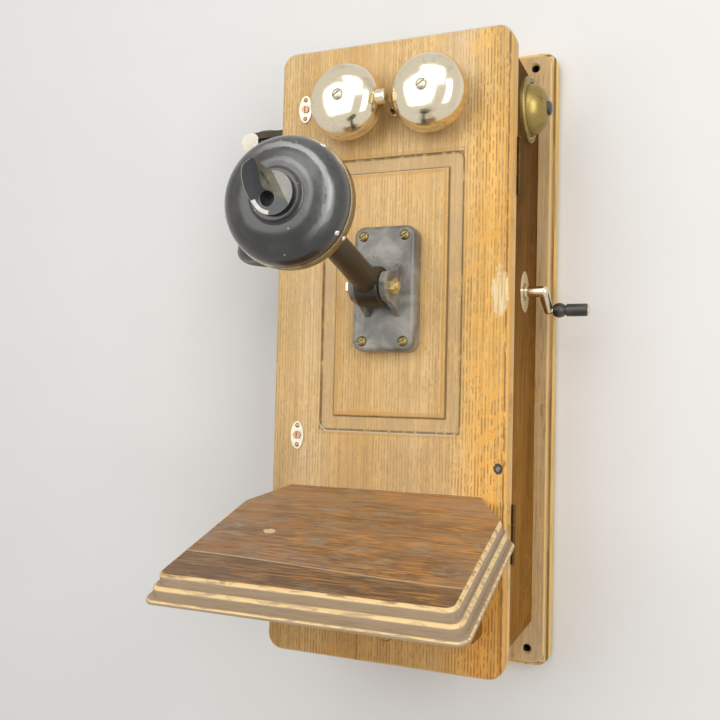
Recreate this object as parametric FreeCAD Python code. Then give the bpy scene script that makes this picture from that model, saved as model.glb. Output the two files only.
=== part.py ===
import FreeCAD, Part
import math
import os

# Antique oak wall telephone with a hand-cranked magneto, in millimetres.
# The origin is the centre of the backboard's rear face, which lies on the wall.
# +Z is up, +X is the right-hand side as seen from the front, and the front faces -Y.

# Backboard
BOARD_SIDE_MARGIN = 15.6
BOARD_END_MARGIN = 41.2
BOARD_THICKNESS = 19.0
BOARD_CORNER = 14.0
BOARD_LIP = 4.1
BOARD_STEP = 8.0
BOARD_STEP_ROUND = 1.5
WALL_HOLE_INSET_X = 19.6
WALL_HOLE_INSET_Z = 16.2
WALL_HOLE_RADIUS = 2.75
WALL_HOLE_SINK_RADIUS = 4.8
WALL_HOLE_SINK_DEPTH = 3.0

# Box
BOX_WIDTH = 208.0
BOX_HEIGHT = 480.0
BOX_DEPTH = 90.0
BOX_WALL = 12.0
INNER_SHELF_THICKNESS = 10.0
INNER_SHELF_SETBACK = 4.0

# Door
DOOR_END_OVERHANG = 22.2
DOOR_THICKNESS = 20.0
DOOR_CORNER = 13.0
DOOR_EDGE_ROUND = 3.0
DOOR_GAP = 0.4
PANEL_X = 2.7
PANEL_CENTRE_Z = 45.0
PANEL_WIDTH = 125.0
PANEL_HEIGHT = 232.5
PANEL_CORNER = 9.0
PANEL_BAND = 13.0
PANEL_BAND_DEPTH = 2.4
PANEL_EDGE_ROUND = 1.5

# Door hinges
HINGE_INSET = 90.0
HINGE_LENGTH = 48.0
HINGE_PIN_RADIUS = 0.75
HINGE_KNUCKLE_RADIUS = 1.5
HINGE_LEAF_THICKNESS = 0.8
HINGE_LEAF_WIDTH = 10.0
HINGE_GAP = 0.3

# Door locks
LOCK_INSET = 12.0
LOCK_UPPER_DROP = 52.4
LOCK_LOWER_Z = -76.5
LOCK_PLATE_WIDTH = 12.2
LOCK_PLATE_HEIGHT = 24.0
LOCK_PLATE_THICKNESS = 1.2
LOCK_SCREW_INSET = 3.7
LOCK_SCREW_HEAD_RADIUS = 2.1
LOCK_SCREW_HEAD_HEIGHT = 0.9
LOCK_SCREW_SHANK_RADIUS = 1.2
LOCK_SCREW_LENGTH = 9.0
LOCK_STUD_RADIUS = 3.4
LOCK_STUD_PROUD = 1.4
LOCK_STUD_SLOT = 1.2
LOCK_CAM_LENGTH = 17.0
LOCK_CAM_WIDTH = 9.0
LOCK_CAM_THICKNESS = 2.5
LOCK_CAM_OFFSET = 4.5
LOCK_POCKET_ROOM = 1.5

# Gongs and clapper
GONGS_X = 4.7
GONG_GAP = 8.6
GONG_DROP = 57.9
GONG_RADIUS = 31.7
GONG_HEIGHT = 23.4
GONG_WALL = 2.0
GONG_STANDOFF = 18.0
GONG_POST_RADIUS = 5.0
GONG_TOP_FLAT = 7.5
GONG_SCREW_RADIUS = 2.5
GONG_SCREW_LENGTH = 14.0
GONG_SCREW_HEAD_RADIUS = 5.0
GONG_SCREW_HEAD_HEIGHT = 3.0
CLAPPER_BELOW = 3.8
CLAPPER_ROD_RADIUS = 1.6
HAMMER_RADIUS = 6.0
HAMMER_END_GAP = 0.3
HAMMER_UP = 17.0
HAMMER_ROUND = 1.2
FERRULE_RADIUS = 5.8
FERRULE_BORE = 3.6
FERRULE_PROUD = 3.0
RINGER_COIL_RADIUS = 11.0
RINGER_COIL_LENGTH = 30.0
RINGER_COIL_SPACING = 42.0
RINGER_ARMATURE_OFFSET = 14.0
RINGER_ARMATURE_THICKNESS = 5.0
RINGER_ARMATURE_HEIGHT = 10.0
RINGER_AIR_GAP = 1.6
RINGER_YOKE_THICKNESS = 4.0
RINGER_YOKE_HEIGHT = 40.0
RINGER_POST_RADIUS = 3.0
RINGER_EAR_WIDTH = 10.0
RINGER_EAR_THICKNESS = 4.0
RINGER_EAR_GAP = 0.6
RINGER_CHEEK = 2.0
RINGER_CHEEK_LIP = 1.2
CLAPPER_PIVOT_RADIUS = 2.0

# Transmitter bracket and arm
BRACKET_RISE = 2.3
BRACKET_WIDTH = 54.0
BRACKET_HEIGHT = 104.0
BRACKET_THICKNESS = 16.0
BRACKET_CORNER = 9.0
BRACKET_EDGE_ROUND = 4.0
BRACKET_SCREW_INSET_X = 9.0
BRACKET_SCREW_INSET_Z = 8.5
BRACKET_SCREW_HEAD_RADIUS = 4.4
BRACKET_SCREW_HEAD_HEIGHT = 2.2
BRACKET_SCREW_RADIUS = 2.2
BRACKET_SCREW_BITE = 12.0
LUG_THICKNESS = 5.0
LUG_RADIUS = 12.0
LUG_FOOT = 44.0
PIVOT_DROP = 1.8
PIVOT_BOLT_RADIUS = 3.5
PIVOT_HEAD_ACROSS = 11.0
PIVOT_HEAD_HEIGHT = 4.5
PIVOT_NUT_HEIGHT = 5.5
PIVOT_BOLT_TAIL = 2.0
ARM_WIDTH = 20.0
ARM_EYE_RADIUS = 16.0
ARM_ROOT_RADIUS = 10.6
ARM_END_RADIUS = 9.4
ARM_SIDE_GAP = 0.5
ARM_EYE_CLEARANCE = 9.0
ARM_EYE_ROUND = 2.0

# Transmitter head
HEAD_OUT = 191.3
HEAD_RISE = 34.0
HEAD_TURN = 5.0
HEAD_TILT = 0.0
HEAD_RADIUS = 42.1
CUP_DEPTH = 33.0
CUP_WALL = 2.0
CUP_BAND = 7.0
CUP_BACK_RADIUS = 15.0
BEZEL_WIDTH = 0.8
BEZEL_HEIGHT = 2.0
BEZEL_LIP = 0.4
BEZEL_ROUND = 0.5
FACE_BULGE_INSET = 2.0
FACE_BULGE_HEIGHT = 11.5
FACE_SHOULDER_INSET = 10.6
FACE_SHOULDER_HEIGHT = 18.0
FACE_CROWN_RISE = 3.0
FACE_CROWN_SWELL = 0.7
FACE_FOOT_ROUND = 2.5
FACE_BOSS_WALL = 3.0
FACE_BOSS_RISE = 3.5
FACE_BOSS_ROUND = 0.8
FACE_WALL = 2.4
MOUTH_RADIUS = 13.5
MOUTH_THROAT = 5.0
MOUTH_HEIGHT = 17.5
MOUTH_LOW_HEIGHT = 4.0
MOUTH_RIM = 1.5
MOUTH_FLARE = 4.5
MOUTH_FUNNEL_RISE = 8.5
MOUTH_SEAT_RISE = 3.5
MOUTH_BREAK = 5.4
MOUTH_BREAK_TURN = 23.0
MOUTH_HIGH_TURN = 122.0
DIAPHRAGM_EDGE_GAP = 6.0
DIAPHRAGM_THICKNESS = 1.2
CARBON_RADIUS = 12.0
CARBON_LENGTH = 12.0

# Writing shelf
SHELF_X = -0.3
SHELF_ABOVE_DOOR_FOOT = 142.6
SHELF_SLOPE = 17.8
SHELF_WIDTH = 221.0
SHELF_LENGTH = 167.0
SHELF_CHAMFER_X = 26.6
SHELF_CHAMFER_Y = 42.0
SHELF_CORNER = 9.0
SHELF_STRIP_LEFT = 38.0
SHELF_STRIP_RIGHT = 27.0
SHELF_REED_HEIGHT = 8.2
SHELF_REED_STEP = 4.2
SHELF_REED_ROUND = 3.2
SHELF_BEAD_ROUND = 1.6
SHELF_REEDS = 2
SHELF_BEAD_HEIGHT = 2.8
SHELF_ARM_THICKNESS = 14.0
SHELF_ARM_INSET = 24.0
SHELF_ARM_REACH = 60.0
SHELF_ARM_TOE = 14.0
SHELF_ARM_DROP = 88.0
SHELF_ARM_FOOT = 25.0
SHELF_ARM_HOLLOW = 6.0
STUD_X = 5.7
STUD_ABOVE_DOOR_FOOT = 25.2
STUD_RADIUS = 6.0
STUD_HEIGHT = 3.0
STUD_SHANK_RADIUS = 2.0
STUD_SHANK_LENGTH = 12.0

# Crank and magneto generator
CRANK_Z = 50.3
CRANK_SHAFT_RADIUS = 4.7
CRANK_OUT = 17.0
CRANK_THROW = 28.0
CRANK_REST_ANGLE = -29.0
CRANK_ARM_RADIUS = 3.9
CRANK_PIN_RADIUS = 3.0
CRANK_PLATE_RADIUS = 17.5
CRANK_PLATE_THICKNESS = 1.0
BUSHING_RADIUS = 8.0
BUSHING_FLANGE_RADIUS = 12.0
BUSHING_FLANGE = 2.0
RUNNING_CLEARANCE = 0.05
GRIP_LENGTH = 29.0
GRIP_RADIUS = 5.5
GRIP_COLLAR_RADIUS = 6.4
GRIP_COLLAR_LENGTH = 9.5
GRIP_GROOVE = 1.4
GRIP_RIVET_RADIUS = 4.2
GRIP_RIVET_HEIGHT = 1.4
GRIP_END_GAP = 0.3
GEAR_MODULE = 1.25
GEAR_TEETH = 48
PINION_TEETH = 12
GEAR_THICKNESS = 6.0
GEAR_BACKLASH = 0.12
GEAR_CENTRE_EXTRA = 0.15
GEAR_WALL_GAP = 5.0
GEAR_DOOR_GAP = 3.0
GEAR_TIP = 1.0
GEAR_ROOT = 1.15
GEAR_FOOT_SHARE = 0.72
GEAR_FLANK = 0.21
END_PLATE_THICKNESS = 3.0
END_PLATE_GAP = 3.0
END_PLATE_INSET = 2.0
END_PLATE_RISE = 20.0
END_PLATE_CORNER = 6.0
MAGNET_COUNT = 5
MAGNET_WIDTH = 16.0
MAGNET_GAP = 2.0
MAGNET_THICKNESS = 9.0
MAGNET_HALF_WIDTH = 29.0
MAGNET_ARCH_RISE = 14.0
POLE_BORE_GAP = 0.8
POLE_APART = 8.0
ARMATURE_RADIUS = 14.5
ARMATURE_SHAFT_RADIUS = 3.0
ARMATURE_FLOOR_GAP = 24.0

# Push button on the right side
BUTTON_DROP = 33.0
BUTTON_FLANGE_MARGIN = 6.3
BUTTON_FLANGE_THICKNESS = 4.5
BUTTON_DOME_RADIUS = 21.7
BUTTON_DOME_HEIGHT = 14.2
BUTTON_DOME_WALL = 2.0
BUTTON_RADIUS = 6.0
BUTTON_PROUD = 3.2
BUTTON_TRAVEL = 2.5
BUTTON_CLEARANCE = 0.08
BUTTON_WIRE_ROOM = 3.0
BUTTON_SCREW_HEAD_RADIUS = 2.4
BUTTON_SCREW_HEAD_HEIGHT = 1.6
BUTTON_SCREW_RADIUS = 1.5
BUTTON_SCREW_LENGTH = 14.0

# Switch hook on the left side
HOOK_INSET = 32.0
HOOK_DROP = 37.0
HOOK_THICKNESS = 8.0
HOOK_BAR = 6.0
HOOK_TIP_PAST = 14.3
HOOK_ROOT = 11.0
HOOK_DISC_RADIUS = 9.0
HOOK_DISC_DROP = 3.0
HOOK_PIVOT_INSET = 15.0
HOOK_TAIL = 24.0
HOOK_PIVOT_RADIUS = 2.5
HOOK_PLATE_WIDTH = 22.0
HOOK_PLATE_HEIGHT = 46.0
HOOK_PLATE_THICKNESS = 1.2
HOOK_SLOT_SIDE_ROOM = 0.8
HOOK_SLOT_RISE = 6.0
HOOK_EAR = 3.0
HOOK_EAR_GAP = 0.6
SPRING_LEAVES = 3
SPRING_LEAF_THICKNESS = 0.8
SPRING_LEAF_PITCH = 4.0
SPRING_LEAF_WIDTH = 8.0
SPRING_LEAF_LENGTH = 35.0
SPRING_CLEARANCE = 9.0

# Receiver, hanging on the hook
RECEIVER_SIDE_GAP = 6.0
RECEIVER_REST_GAP = 0.3
RECEIVER_FORK_GAP = 1.5
RECEIVER_SEAT = 2.5
RECEIVER_FLANGE = 2.5
RECEIVER_TAIL_HEIGHT = 2.5
RECEIVER_TAIL_INSET = 2.0
RECEIVER_PLUG_LENGTH = 9.0
RECEIVER_PLUG_GAP = 0.1
RECEIVER_NECK_RADIUS = 12.0
RECEIVER_NECK_LENGTH = 46.0
RECEIVER_BODY_RADIUS = 26.0
RECEIVER_BODY_LENGTH = 57.0
RECEIVER_WALL = 3.5
EAR_CAP_LIP = 5.0
EAR_CAP_HEIGHT = 20.0
EAR_CAP_DISH = 4.0
EAR_CAP_HOLE = 5.0
EAR_CAP_ROUND = 9.0
EAR_CAP_WIDEST = 11.0
RECEIVER_INLET_RADIUS = 2.6

# Battery cells and induction coil
CELL_RADIUS = 33.0
CELL_HEIGHT = 148.0
CELL_GAP = 16.0
CELL_FLOOR_GAP = 0.5
CELL_POST_RADIUS = 4.0
CELL_POST_HEIGHT = 8.0
COIL_LENGTH = 84.0
COIL_RADIUS = 11.0
COIL_CHEEK = 30.0
COIL_CHEEK_THICKNESS = 5.0
COIL_X = -30.0
COIL_Z = 140.0

# Sizes and places that follow from the ones above
BOARD_WIDTH = BOX_WIDTH + 2 * BOARD_SIDE_MARGIN
BOARD_HEIGHT = BOX_HEIGHT + 2 * BOARD_END_MARGIN
WALL_HOLE_SPACING_X = BOARD_WIDTH - 2 * WALL_HOLE_INSET_X
WALL_HOLE_SPACING_Z = BOARD_HEIGHT - 2 * WALL_HOLE_INSET_Z
DOOR_WIDTH = BOX_WIDTH
DOOR_HEIGHT = BOX_HEIGHT + 2 * DOOR_END_OVERHANG
BOARD_FRONT = -BOARD_THICKNESS
BOX_FRONT = BOARD_FRONT - BOX_DEPTH
DOOR_BACK = BOX_FRONT - DOOR_GAP
DOOR_FRONT = DOOR_BACK - DOOR_THICKNESS
DOOR_TOP = DOOR_HEIGHT / 2
DOOR_FOOT = -DOOR_HEIGHT / 2
SIDE_OUT = BOX_WIDTH / 2
SIDE_IN = SIDE_OUT - BOX_WALL
HINGE_X = SIDE_OUT + HINGE_KNUCKLE_RADIUS + HINGE_GAP
HINGE_Y = (BOX_FRONT + DOOR_BACK) / 2
HINGE_Z = BOX_HEIGHT / 2 - HINGE_INSET
LOCK_X = -SIDE_IN + LOCK_INSET
LOCK_UPPER_Z = DOOR_TOP - LOCK_UPPER_DROP
LOCK_SCREW_SPACING = LOCK_PLATE_HEIGHT - 2 * LOCK_SCREW_INSET
GONG_Z = DOOR_TOP - GONG_DROP
GONG_LEFT_X = GONGS_X - GONG_GAP / 2 - GONG_RADIUS
GONG_RIGHT_X = GONGS_X + GONG_GAP / 2 + GONG_RADIUS
CLAPPER_PIVOT_Y = DOOR_BACK + RINGER_ARMATURE_OFFSET + RINGER_ARMATURE_THICKNESS / 2
CLAPPER_Z = GONG_Z - CLAPPER_BELOW
HAMMER_LENGTH = GONG_GAP - 2 * HAMMER_END_GAP
HAMMER_OUT = GONG_STANDOFF + HAMMER_UP
BRACKET_X = PANEL_X
BRACKET_Z = PANEL_CENTRE_Z + BRACKET_RISE
BRACKET_SCREW_SPACING_X = BRACKET_WIDTH - 2 * BRACKET_SCREW_INSET_X
BRACKET_SCREW_SPACING_Z = BRACKET_HEIGHT - 2 * BRACKET_SCREW_INSET_Z
BRACKET_SCREW_LENGTH = BRACKET_THICKNESS + BRACKET_SCREW_BITE
PIVOT_Y = DOOR_FRONT - BRACKET_THICKNESS - ARM_EYE_RADIUS - ARM_EYE_CLEARANCE
PIVOT_Z = BRACKET_Z - PIVOT_DROP
HEAD_Z = PIVOT_Z + HEAD_RISE
FACE_RIM_RADIUS = HEAD_RADIUS - BEZEL_WIDTH
FACE_SHOULDER_RADIUS = FACE_RIM_RADIUS - FACE_SHOULDER_INSET
FACE_CROWN_HEIGHT = FACE_SHOULDER_HEIGHT + FACE_CROWN_RISE
FACE_BOSS_RADIUS = MOUTH_RADIUS + FACE_BOSS_WALL
FACE_BOSS_HEIGHT = FACE_CROWN_HEIGHT + FACE_BOSS_RISE
DIAPHRAGM_RADIUS = HEAD_RADIUS - CUP_WALL - DIAPHRAGM_EDGE_GAP
SHELF_BACK_Z = DOOR_FOOT + SHELF_ABOVE_DOOR_FOOT
SHELF_THICKNESS = SHELF_REEDS * SHELF_REED_HEIGHT + SHELF_BEAD_HEIGHT
STUD_Z = DOOR_FOOT + STUD_ABOVE_DOOR_FOOT
GEAR_RADIUS = GEAR_MODULE * (GEAR_TEETH / 2 + GEAR_TIP)
SIDE_Y = BOX_FRONT + GEAR_RADIUS + GEAR_DOOR_GAP
GEAR_CENTRES = GEAR_MODULE * (GEAR_TEETH + PINION_TEETH) / 2 + GEAR_CENTRE_EXTRA
ARMATURE_Z = CRANK_Z - GEAR_CENTRES
INNER_SHELF_TOP = ARMATURE_Z - ARMATURE_FLOOR_GAP
GEAR_RIGHT = SIDE_IN - GEAR_WALL_GAP
GEAR_LEFT = GEAR_RIGHT - GEAR_THICKNESS
PLATE_RIGHT = GEAR_LEFT - END_PLATE_GAP
MAGNETS_LENGTH = MAGNET_COUNT * MAGNET_WIDTH + (MAGNET_COUNT - 1) * MAGNET_GAP
MAGNETS_RIGHT = PLATE_RIGHT - END_PLATE_THICKNESS
MAGNETS_LEFT = MAGNETS_RIGHT - MAGNETS_LENGTH
PLATE_LEFT = MAGNETS_LEFT - END_PLATE_THICKNESS
CRANK_REACH = SIDE_OUT + CRANK_OUT
CRANK_TURN = math.radians(CRANK_REST_ANGLE)
GRIP_Y = SIDE_Y + CRANK_THROW * math.cos(CRANK_TURN)
GRIP_Z = CRANK_Z + CRANK_THROW * math.sin(CRANK_TURN)
GRIP_START = CRANK_REACH + CRANK_ARM_RADIUS + GRIP_END_GAP
GRIP_END = GRIP_START + GRIP_LENGTH
BUTTON_Z = BOX_HEIGHT / 2 - BUTTON_DROP
BUTTON_FLANGE_RADIUS = BUTTON_DOME_RADIUS + BUTTON_FLANGE_MARGIN
BUTTON_SCREW_OFFSET = BUTTON_DOME_RADIUS + BUTTON_FLANGE_MARGIN / 2
BUTTON_WIRE_HOLE = BUTTON_RADIUS + BUTTON_WIRE_ROOM
HOOK_Y = BOX_FRONT + HOOK_INSET
HOOK_Z = BOX_HEIGHT / 2 - HOOK_DROP
HOOK_PIVOT_X = -SIDE_IN + HOOK_PIVOT_INSET
HOOK_TOP = HOOK_Z + HOOK_BAR / 2
HOOK_FORK_GAP = 2 * (RECEIVER_NECK_RADIUS + RECEIVER_FORK_GAP)
EAR_CAP_RADIUS = RECEIVER_BODY_RADIUS + EAR_CAP_LIP
RECEIVER_X = -SIDE_OUT - RECEIVER_SIDE_GAP - EAR_CAP_RADIUS
RECEIVER_FLANGE_RADIUS = HOOK_FORK_GAP / 2 + RECEIVER_SEAT
RECEIVER_TAIL_RADIUS = RECEIVER_NECK_RADIUS - RECEIVER_TAIL_INSET
RECEIVER_SEAT_Z = HOOK_TOP + RECEIVER_REST_GAP
HOOK_TIP_X = RECEIVER_X - HOOK_TIP_PAST
CELL_SPACING = 2 * CELL_RADIUS + CELL_GAP
FAR = 2 * BOARD_HEIGHT
HEAD_LEAN = math.radians(HEAD_TILT)
HEAD_YAW = math.radians(HEAD_TURN)
HEAD_AXIS = FreeCAD.Vector(math.sin(HEAD_YAW) * math.cos(HEAD_LEAN),
                           -math.cos(HEAD_YAW) * math.cos(HEAD_LEAN), -math.sin(HEAD_LEAN))
HEAD_CENTRE = FreeCAD.Vector(BRACKET_X + CUP_DEPTH * HEAD_AXIS.x, DOOR_FRONT - HEAD_OUT, HEAD_Z)

X = FreeCAD.Vector(1, 0, 0)
Y = FreeCAD.Vector(0, 1, 0)
Z = FreeCAD.Vector(0, 0, 1)


def vec(x, y, z):
    return FreeCAD.Vector(x, y, z)


def block(x0, x1, y0, y1, z0, z1):
    """Box between two opposite corners."""
    return Part.makeBox(x1 - x0, y1 - y0, z1 - z0, vec(x0, y0, z0))


def rod(start, end, radius):
    """Cylinder from one point to another."""
    run = end - start
    return Part.makeCylinder(radius, run.Length, start, run)


def plate(x, z, width, height, corner, y_back, thickness):
    """Upright plate with rounded corners; its front is thickness nearer the viewer than y_back."""
    left, right = x - width / 2, x + width / 2
    low, high = z - height / 2, z + height / 2
    corners = [(right, low, -1, 1), (right, high, -1, -1), (left, high, 1, -1), (left, low, 1, 1)]
    nook = corner * (1 - math.sqrt(0.5))
    starts, mids, ends = [], [], []
    for cx, cz, sx, sz in corners:
        along_x = vec(cx + sx * corner, y_back, cz)
        along_z = vec(cx, y_back, cz + sz * corner)
        first_along_x = sx * sz < 0
        starts.append(along_x if first_along_x else along_z)
        ends.append(along_z if first_along_x else along_x)
        mids.append(vec(cx + sx * nook, y_back, cz + sz * nook))
    edges = []
    for i in range(4):
        edges.append(Part.Arc(starts[i], mids[i], ends[i]).toShape())
        edges.append(Part.makeLine(ends[i], starts[(i + 1) % 4]))
    return Part.Face(Part.Wire(edges)).extrude(vec(0, -thickness, 0))


def edges_at(shape, test):
    """Edges whose two ends and middle all pass a test on the point."""
    chosen = []
    for edge in shape.Edges:
        points = [v.Point for v in edge.Vertexes]
        middle = edge.valueAt((edge.FirstParameter + edge.LastParameter) / 2)
        if all(test(p) for p in points + [middle]):
            chosen.append(edge)
    return chosen


def on_y(y):
    """Test for points in one upright plane."""
    return lambda p: abs(p.y - y) < 1e-4


def turned(profile, origin, axis):
    """Solid of revolution. The profile lists (radius, height) points; a pair of points is an arc."""
    edges = []
    last = vec(profile[0][0], 0, profile[0][1])
    first = last
    for item in profile[1:]:
        if isinstance(item[0], tuple):
            middle = vec(item[0][0], 0, item[0][1])
            point = vec(item[1][0], 0, item[1][1])
            edges.append(Part.Arc(last, middle, point).toShape())
        else:
            point = vec(item[0], 0, item[1])
            edges.append(Part.makeLine(last, point))
        last = point
    if (last - first).Length > 1e-6:
        edges.append(Part.makeLine(last, first))
    solid = Part.Face(Part.Wire(edges)).revolve(vec(0, 0, 0), Z, 360)
    solid.Placement = FreeCAD.Placement(origin, FreeCAD.Rotation(Z, axis))
    return solid


def slotted_screw(seat, outward, head_radius, head_height, shank_radius, shank_length):
    """Round-headed wood screw whose head sits at seat and whose shank runs the other way."""
    profile = [(0, -shank_length), (shank_radius * 0.4, -shank_length),
               (shank_radius, -shank_length * 0.75), (shank_radius, 0), (head_radius, 0),
               ((head_radius * 0.8, head_height * 0.68), (0, head_height))]
    screw = turned(profile, vec(0, 0, 0), Z)
    slot_width = head_radius * 0.26
    slot = block(-head_radius, head_radius, -slot_width / 2, slot_width / 2,
                 head_height * 0.45, head_height * 2)
    slot.rotate(vec(0, 0, 0), Z, 35)
    screw = screw.cut(slot)
    screw.Placement = FreeCAD.Placement(seat, FreeCAD.Rotation(Z, outward))
    return screw


def hexagon(centre, direction, across, height):
    """Hexagonal prism starting at centre."""
    corner = across / math.sqrt(3)
    points = []
    for i in range(7):
        turn = math.radians(60 * i)
        points.append(vec(corner * math.cos(turn), corner * math.sin(turn), 0))
    prism = Part.Face(Part.makePolygon(points)).extrude(vec(0, 0, height))
    prism.Placement = FreeCAD.Placement(centre, FreeCAD.Rotation(Z, direction))
    return prism


def gear(teeth, x0, x1, y, z, tooth_angle):
    """Spur gear about an axis along X, with a tooth centred at tooth_angle from +Y towards +Z."""
    pitch_radius = GEAR_MODULE * teeth / 2
    tip = pitch_radius + GEAR_TIP * GEAR_MODULE
    root = pitch_radius - GEAR_ROOT * GEAR_MODULE
    step = 2 * math.pi / teeth
    foot_half = GEAR_FOOT_SHARE / 2
    tip_half = foot_half - GEAR_FLANK - GEAR_BACKLASH / 2
    points = []
    for i in range(teeth):
        centre = math.radians(tooth_angle) + i * step
        for radius, half in ((root, foot_half), (tip, tip_half), (tip, -tip_half), (root, -foot_half)):
            angle = centre - half * step
            points.append(vec(x0, y + radius * math.cos(angle), z + radius * math.sin(angle)))
    points.append(points[0])
    return Part.Face(Part.makePolygon(points)).extrude(vec(x1 - x0, 0, 0))


# Cabinet

def backboard():
    """Backboard with a stepped, rounded edge and countersunk holes for the wall screws."""
    thin = BOARD_THICKNESS - BOARD_STEP
    base = plate(0, 0, BOARD_WIDTH, BOARD_HEIGHT, BOARD_CORNER, 0, thin)
    inner_corner = BOARD_CORNER - BOARD_LIP + BOARD_STEP_ROUND
    raised = plate(0, 0, BOARD_WIDTH - 2 * BOARD_LIP, BOARD_HEIGHT - 2 * BOARD_LIP, inner_corner,
                   -thin, BOARD_STEP)
    raised = raised.makeFillet(BOARD_STEP_ROUND, edges_at(raised, on_y(BOARD_FRONT)))
    board = base.fuse(raised).removeSplitter()
    for sx in (-1, 1):
        for sz in (-1, 1):
            x, z = sx * WALL_HOLE_SPACING_X / 2, sz * WALL_HOLE_SPACING_Z / 2
            board = board.cut(rod(vec(x, 1, z), vec(x, BOARD_FRONT - 1, z), WALL_HOLE_RADIUS))
            sink = Part.makeCone(WALL_HOLE_RADIUS, WALL_HOLE_SINK_RADIUS, WALL_HOLE_SINK_DEPTH,
                                 vec(x, BOARD_FRONT + WALL_HOLE_SINK_DEPTH, z), -Y)
            board = board.cut(sink)
    return board


def side_board(side):
    """Left (-1) or right (+1) side of the box."""
    x0, x1 = sorted((side * SIDE_IN, side * SIDE_OUT))
    return block(x0, x1, BOX_FRONT, BOARD_FRONT, -BOX_HEIGHT / 2, BOX_HEIGHT / 2)


def left_side():
    """Left side, with the hook's slot and a pocket for each lock cam."""
    board = side_board(-1)
    half_y = HOOK_THICKNESS / 2 + HOOK_SLOT_SIDE_ROOM
    board = board.cut(block(-SIDE_OUT - 1, -SIDE_IN + 1, HOOK_Y - half_y, HOOK_Y + half_y,
                            HOOK_Z - HOOK_BAR / 2 - 1, HOOK_Z + HOOK_BAR / 2 + HOOK_SLOT_RISE))
    reach = math.hypot(LOCK_CAM_LENGTH, LOCK_CAM_WIDTH / 2) + LOCK_POCKET_ROOM
    for z in (LOCK_UPPER_Z, LOCK_LOWER_Z):
        y0 = DOOR_BACK + LOCK_CAM_OFFSET - LOCK_POCKET_ROOM
        y1 = DOOR_BACK + LOCK_CAM_OFFSET + LOCK_CAM_THICKNESS + LOCK_POCKET_ROOM
        low = z - LOCK_CAM_WIDTH / 2 - LOCK_POCKET_ROOM
        board = board.cut(block(LOCK_X - reach, -SIDE_IN + 1, y0, y1, low, z + reach))
    return board


def right_side():
    """Right side, with holes for the crank bushing and the push button's wires, let in for the hinges."""
    board = side_board(1)
    for z, radius in ((CRANK_Z, BUSHING_RADIUS), (BUTTON_Z, BUTTON_WIRE_HOLE)):
        board = board.cut(rod(vec(SIDE_IN - 1, SIDE_Y, z), vec(SIDE_OUT + 1, SIDE_Y, z), radius))
    for sz in (-1, 1):
        z = BUTTON_Z + sz * BUTTON_SCREW_OFFSET
        inner = SIDE_OUT - BUTTON_SCREW_LENGTH + BUTTON_FLANGE_THICKNESS
        board = board.cut(rod(vec(inner - 1, SIDE_Y, z), vec(SIDE_OUT + 1, SIDE_Y, z), BUTTON_SCREW_RADIUS))
    for z in (-HINGE_Z, HINGE_Z):
        board = board.cut(hinge_leaf_plate(z, BOX_FRONT, BOX_FRONT + HINGE_LEAF_THICKNESS))
    return board


def end_board(side):
    """Bottom (-1) or top (+1) of the box, between its sides."""
    z0, z1 = sorted((side * BOX_HEIGHT / 2, side * (BOX_HEIGHT / 2 - BOX_WALL)))
    return block(-SIDE_IN, SIDE_IN, BOX_FRONT, BOARD_FRONT, z0, z1)


def inner_shelf():
    """Board inside the box that carries the generator."""
    return block(-SIDE_IN, SIDE_IN, BOX_FRONT + INNER_SHELF_SETBACK, BOARD_FRONT,
                 INNER_SHELF_TOP - INNER_SHELF_THICKNESS, INNER_SHELF_TOP)


# Hinges

def hinge_spans(z):
    """Lower, middle and upper knuckle of one hinge, as pairs of heights."""
    third = HINGE_LENGTH / 3
    low = z - HINGE_LENGTH / 2
    gap = HINGE_GAP / 2
    return [(low, low + third - gap), (low + third + gap, low + 2 * third - gap),
            (low + 2 * third + gap, low + HINGE_LENGTH)]


def pin_hole(z):
    """Cutter for the pin's hole through one hinge."""
    start = vec(HINGE_X, HINGE_Y, z - HINGE_LENGTH)
    return rod(start, start + vec(0, 0, 2 * HINGE_LENGTH), HINGE_PIN_RADIUS + RUNNING_CLEARANCE)


def hinge_leaf_plate(z, y0, y1):
    """Flat part of one leaf, flush with the wood that it is let into."""
    half = HINGE_LENGTH / 2
    return block(SIDE_OUT - HINGE_LEAF_WIDTH, SIDE_OUT, y0, y1, z - half, z + half)


def hinge_leaf(z, y0, y1, spans):
    """One leaf of a butt hinge, with the knuckles that belong to it."""
    leaf = hinge_leaf_plate(z, y0, y1)
    for low, high in spans:
        leaf = leaf.fuse(block(SIDE_OUT, HINGE_X, y0, y1, low, high))
        leaf = leaf.fuse(rod(vec(HINGE_X, HINGE_Y, low), vec(HINGE_X, HINGE_Y, high), HINGE_KNUCKLE_RADIUS))
    return leaf.cut(pin_hole(z))


def hinge_box_leaf(z):
    """Leaf let into the front edge of the right side, with the two outer knuckles."""
    lower, middle, upper = hinge_spans(z)
    return hinge_leaf(z, BOX_FRONT, BOX_FRONT + HINGE_LEAF_THICKNESS, (lower, upper))


def hinge_door_leaf(z):
    """Leaf let into the back of the door, with the middle knuckle."""
    lower, middle, upper = hinge_spans(z)
    return hinge_leaf(z, DOOR_BACK - HINGE_LEAF_THICKNESS, DOOR_BACK, (middle,))


def hinge_pin(z):
    """Pin of one hinge."""
    return rod(vec(HINGE_X, HINGE_Y, z - HINGE_LENGTH / 2), vec(HINGE_X, HINGE_Y, z + HINGE_LENGTH / 2),
               HINGE_PIN_RADIUS)


# Door and its locks

def lock_screw_places():
    """Seats of the four lock plate screws."""
    places = []
    for z in (LOCK_UPPER_Z, LOCK_LOWER_Z):
        for sz in (-1, 1):
            places.append(vec(LOCK_X, DOOR_FRONT - LOCK_PLATE_THICKNESS, z + sz * LOCK_SCREW_SPACING / 2))
    return places


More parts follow.
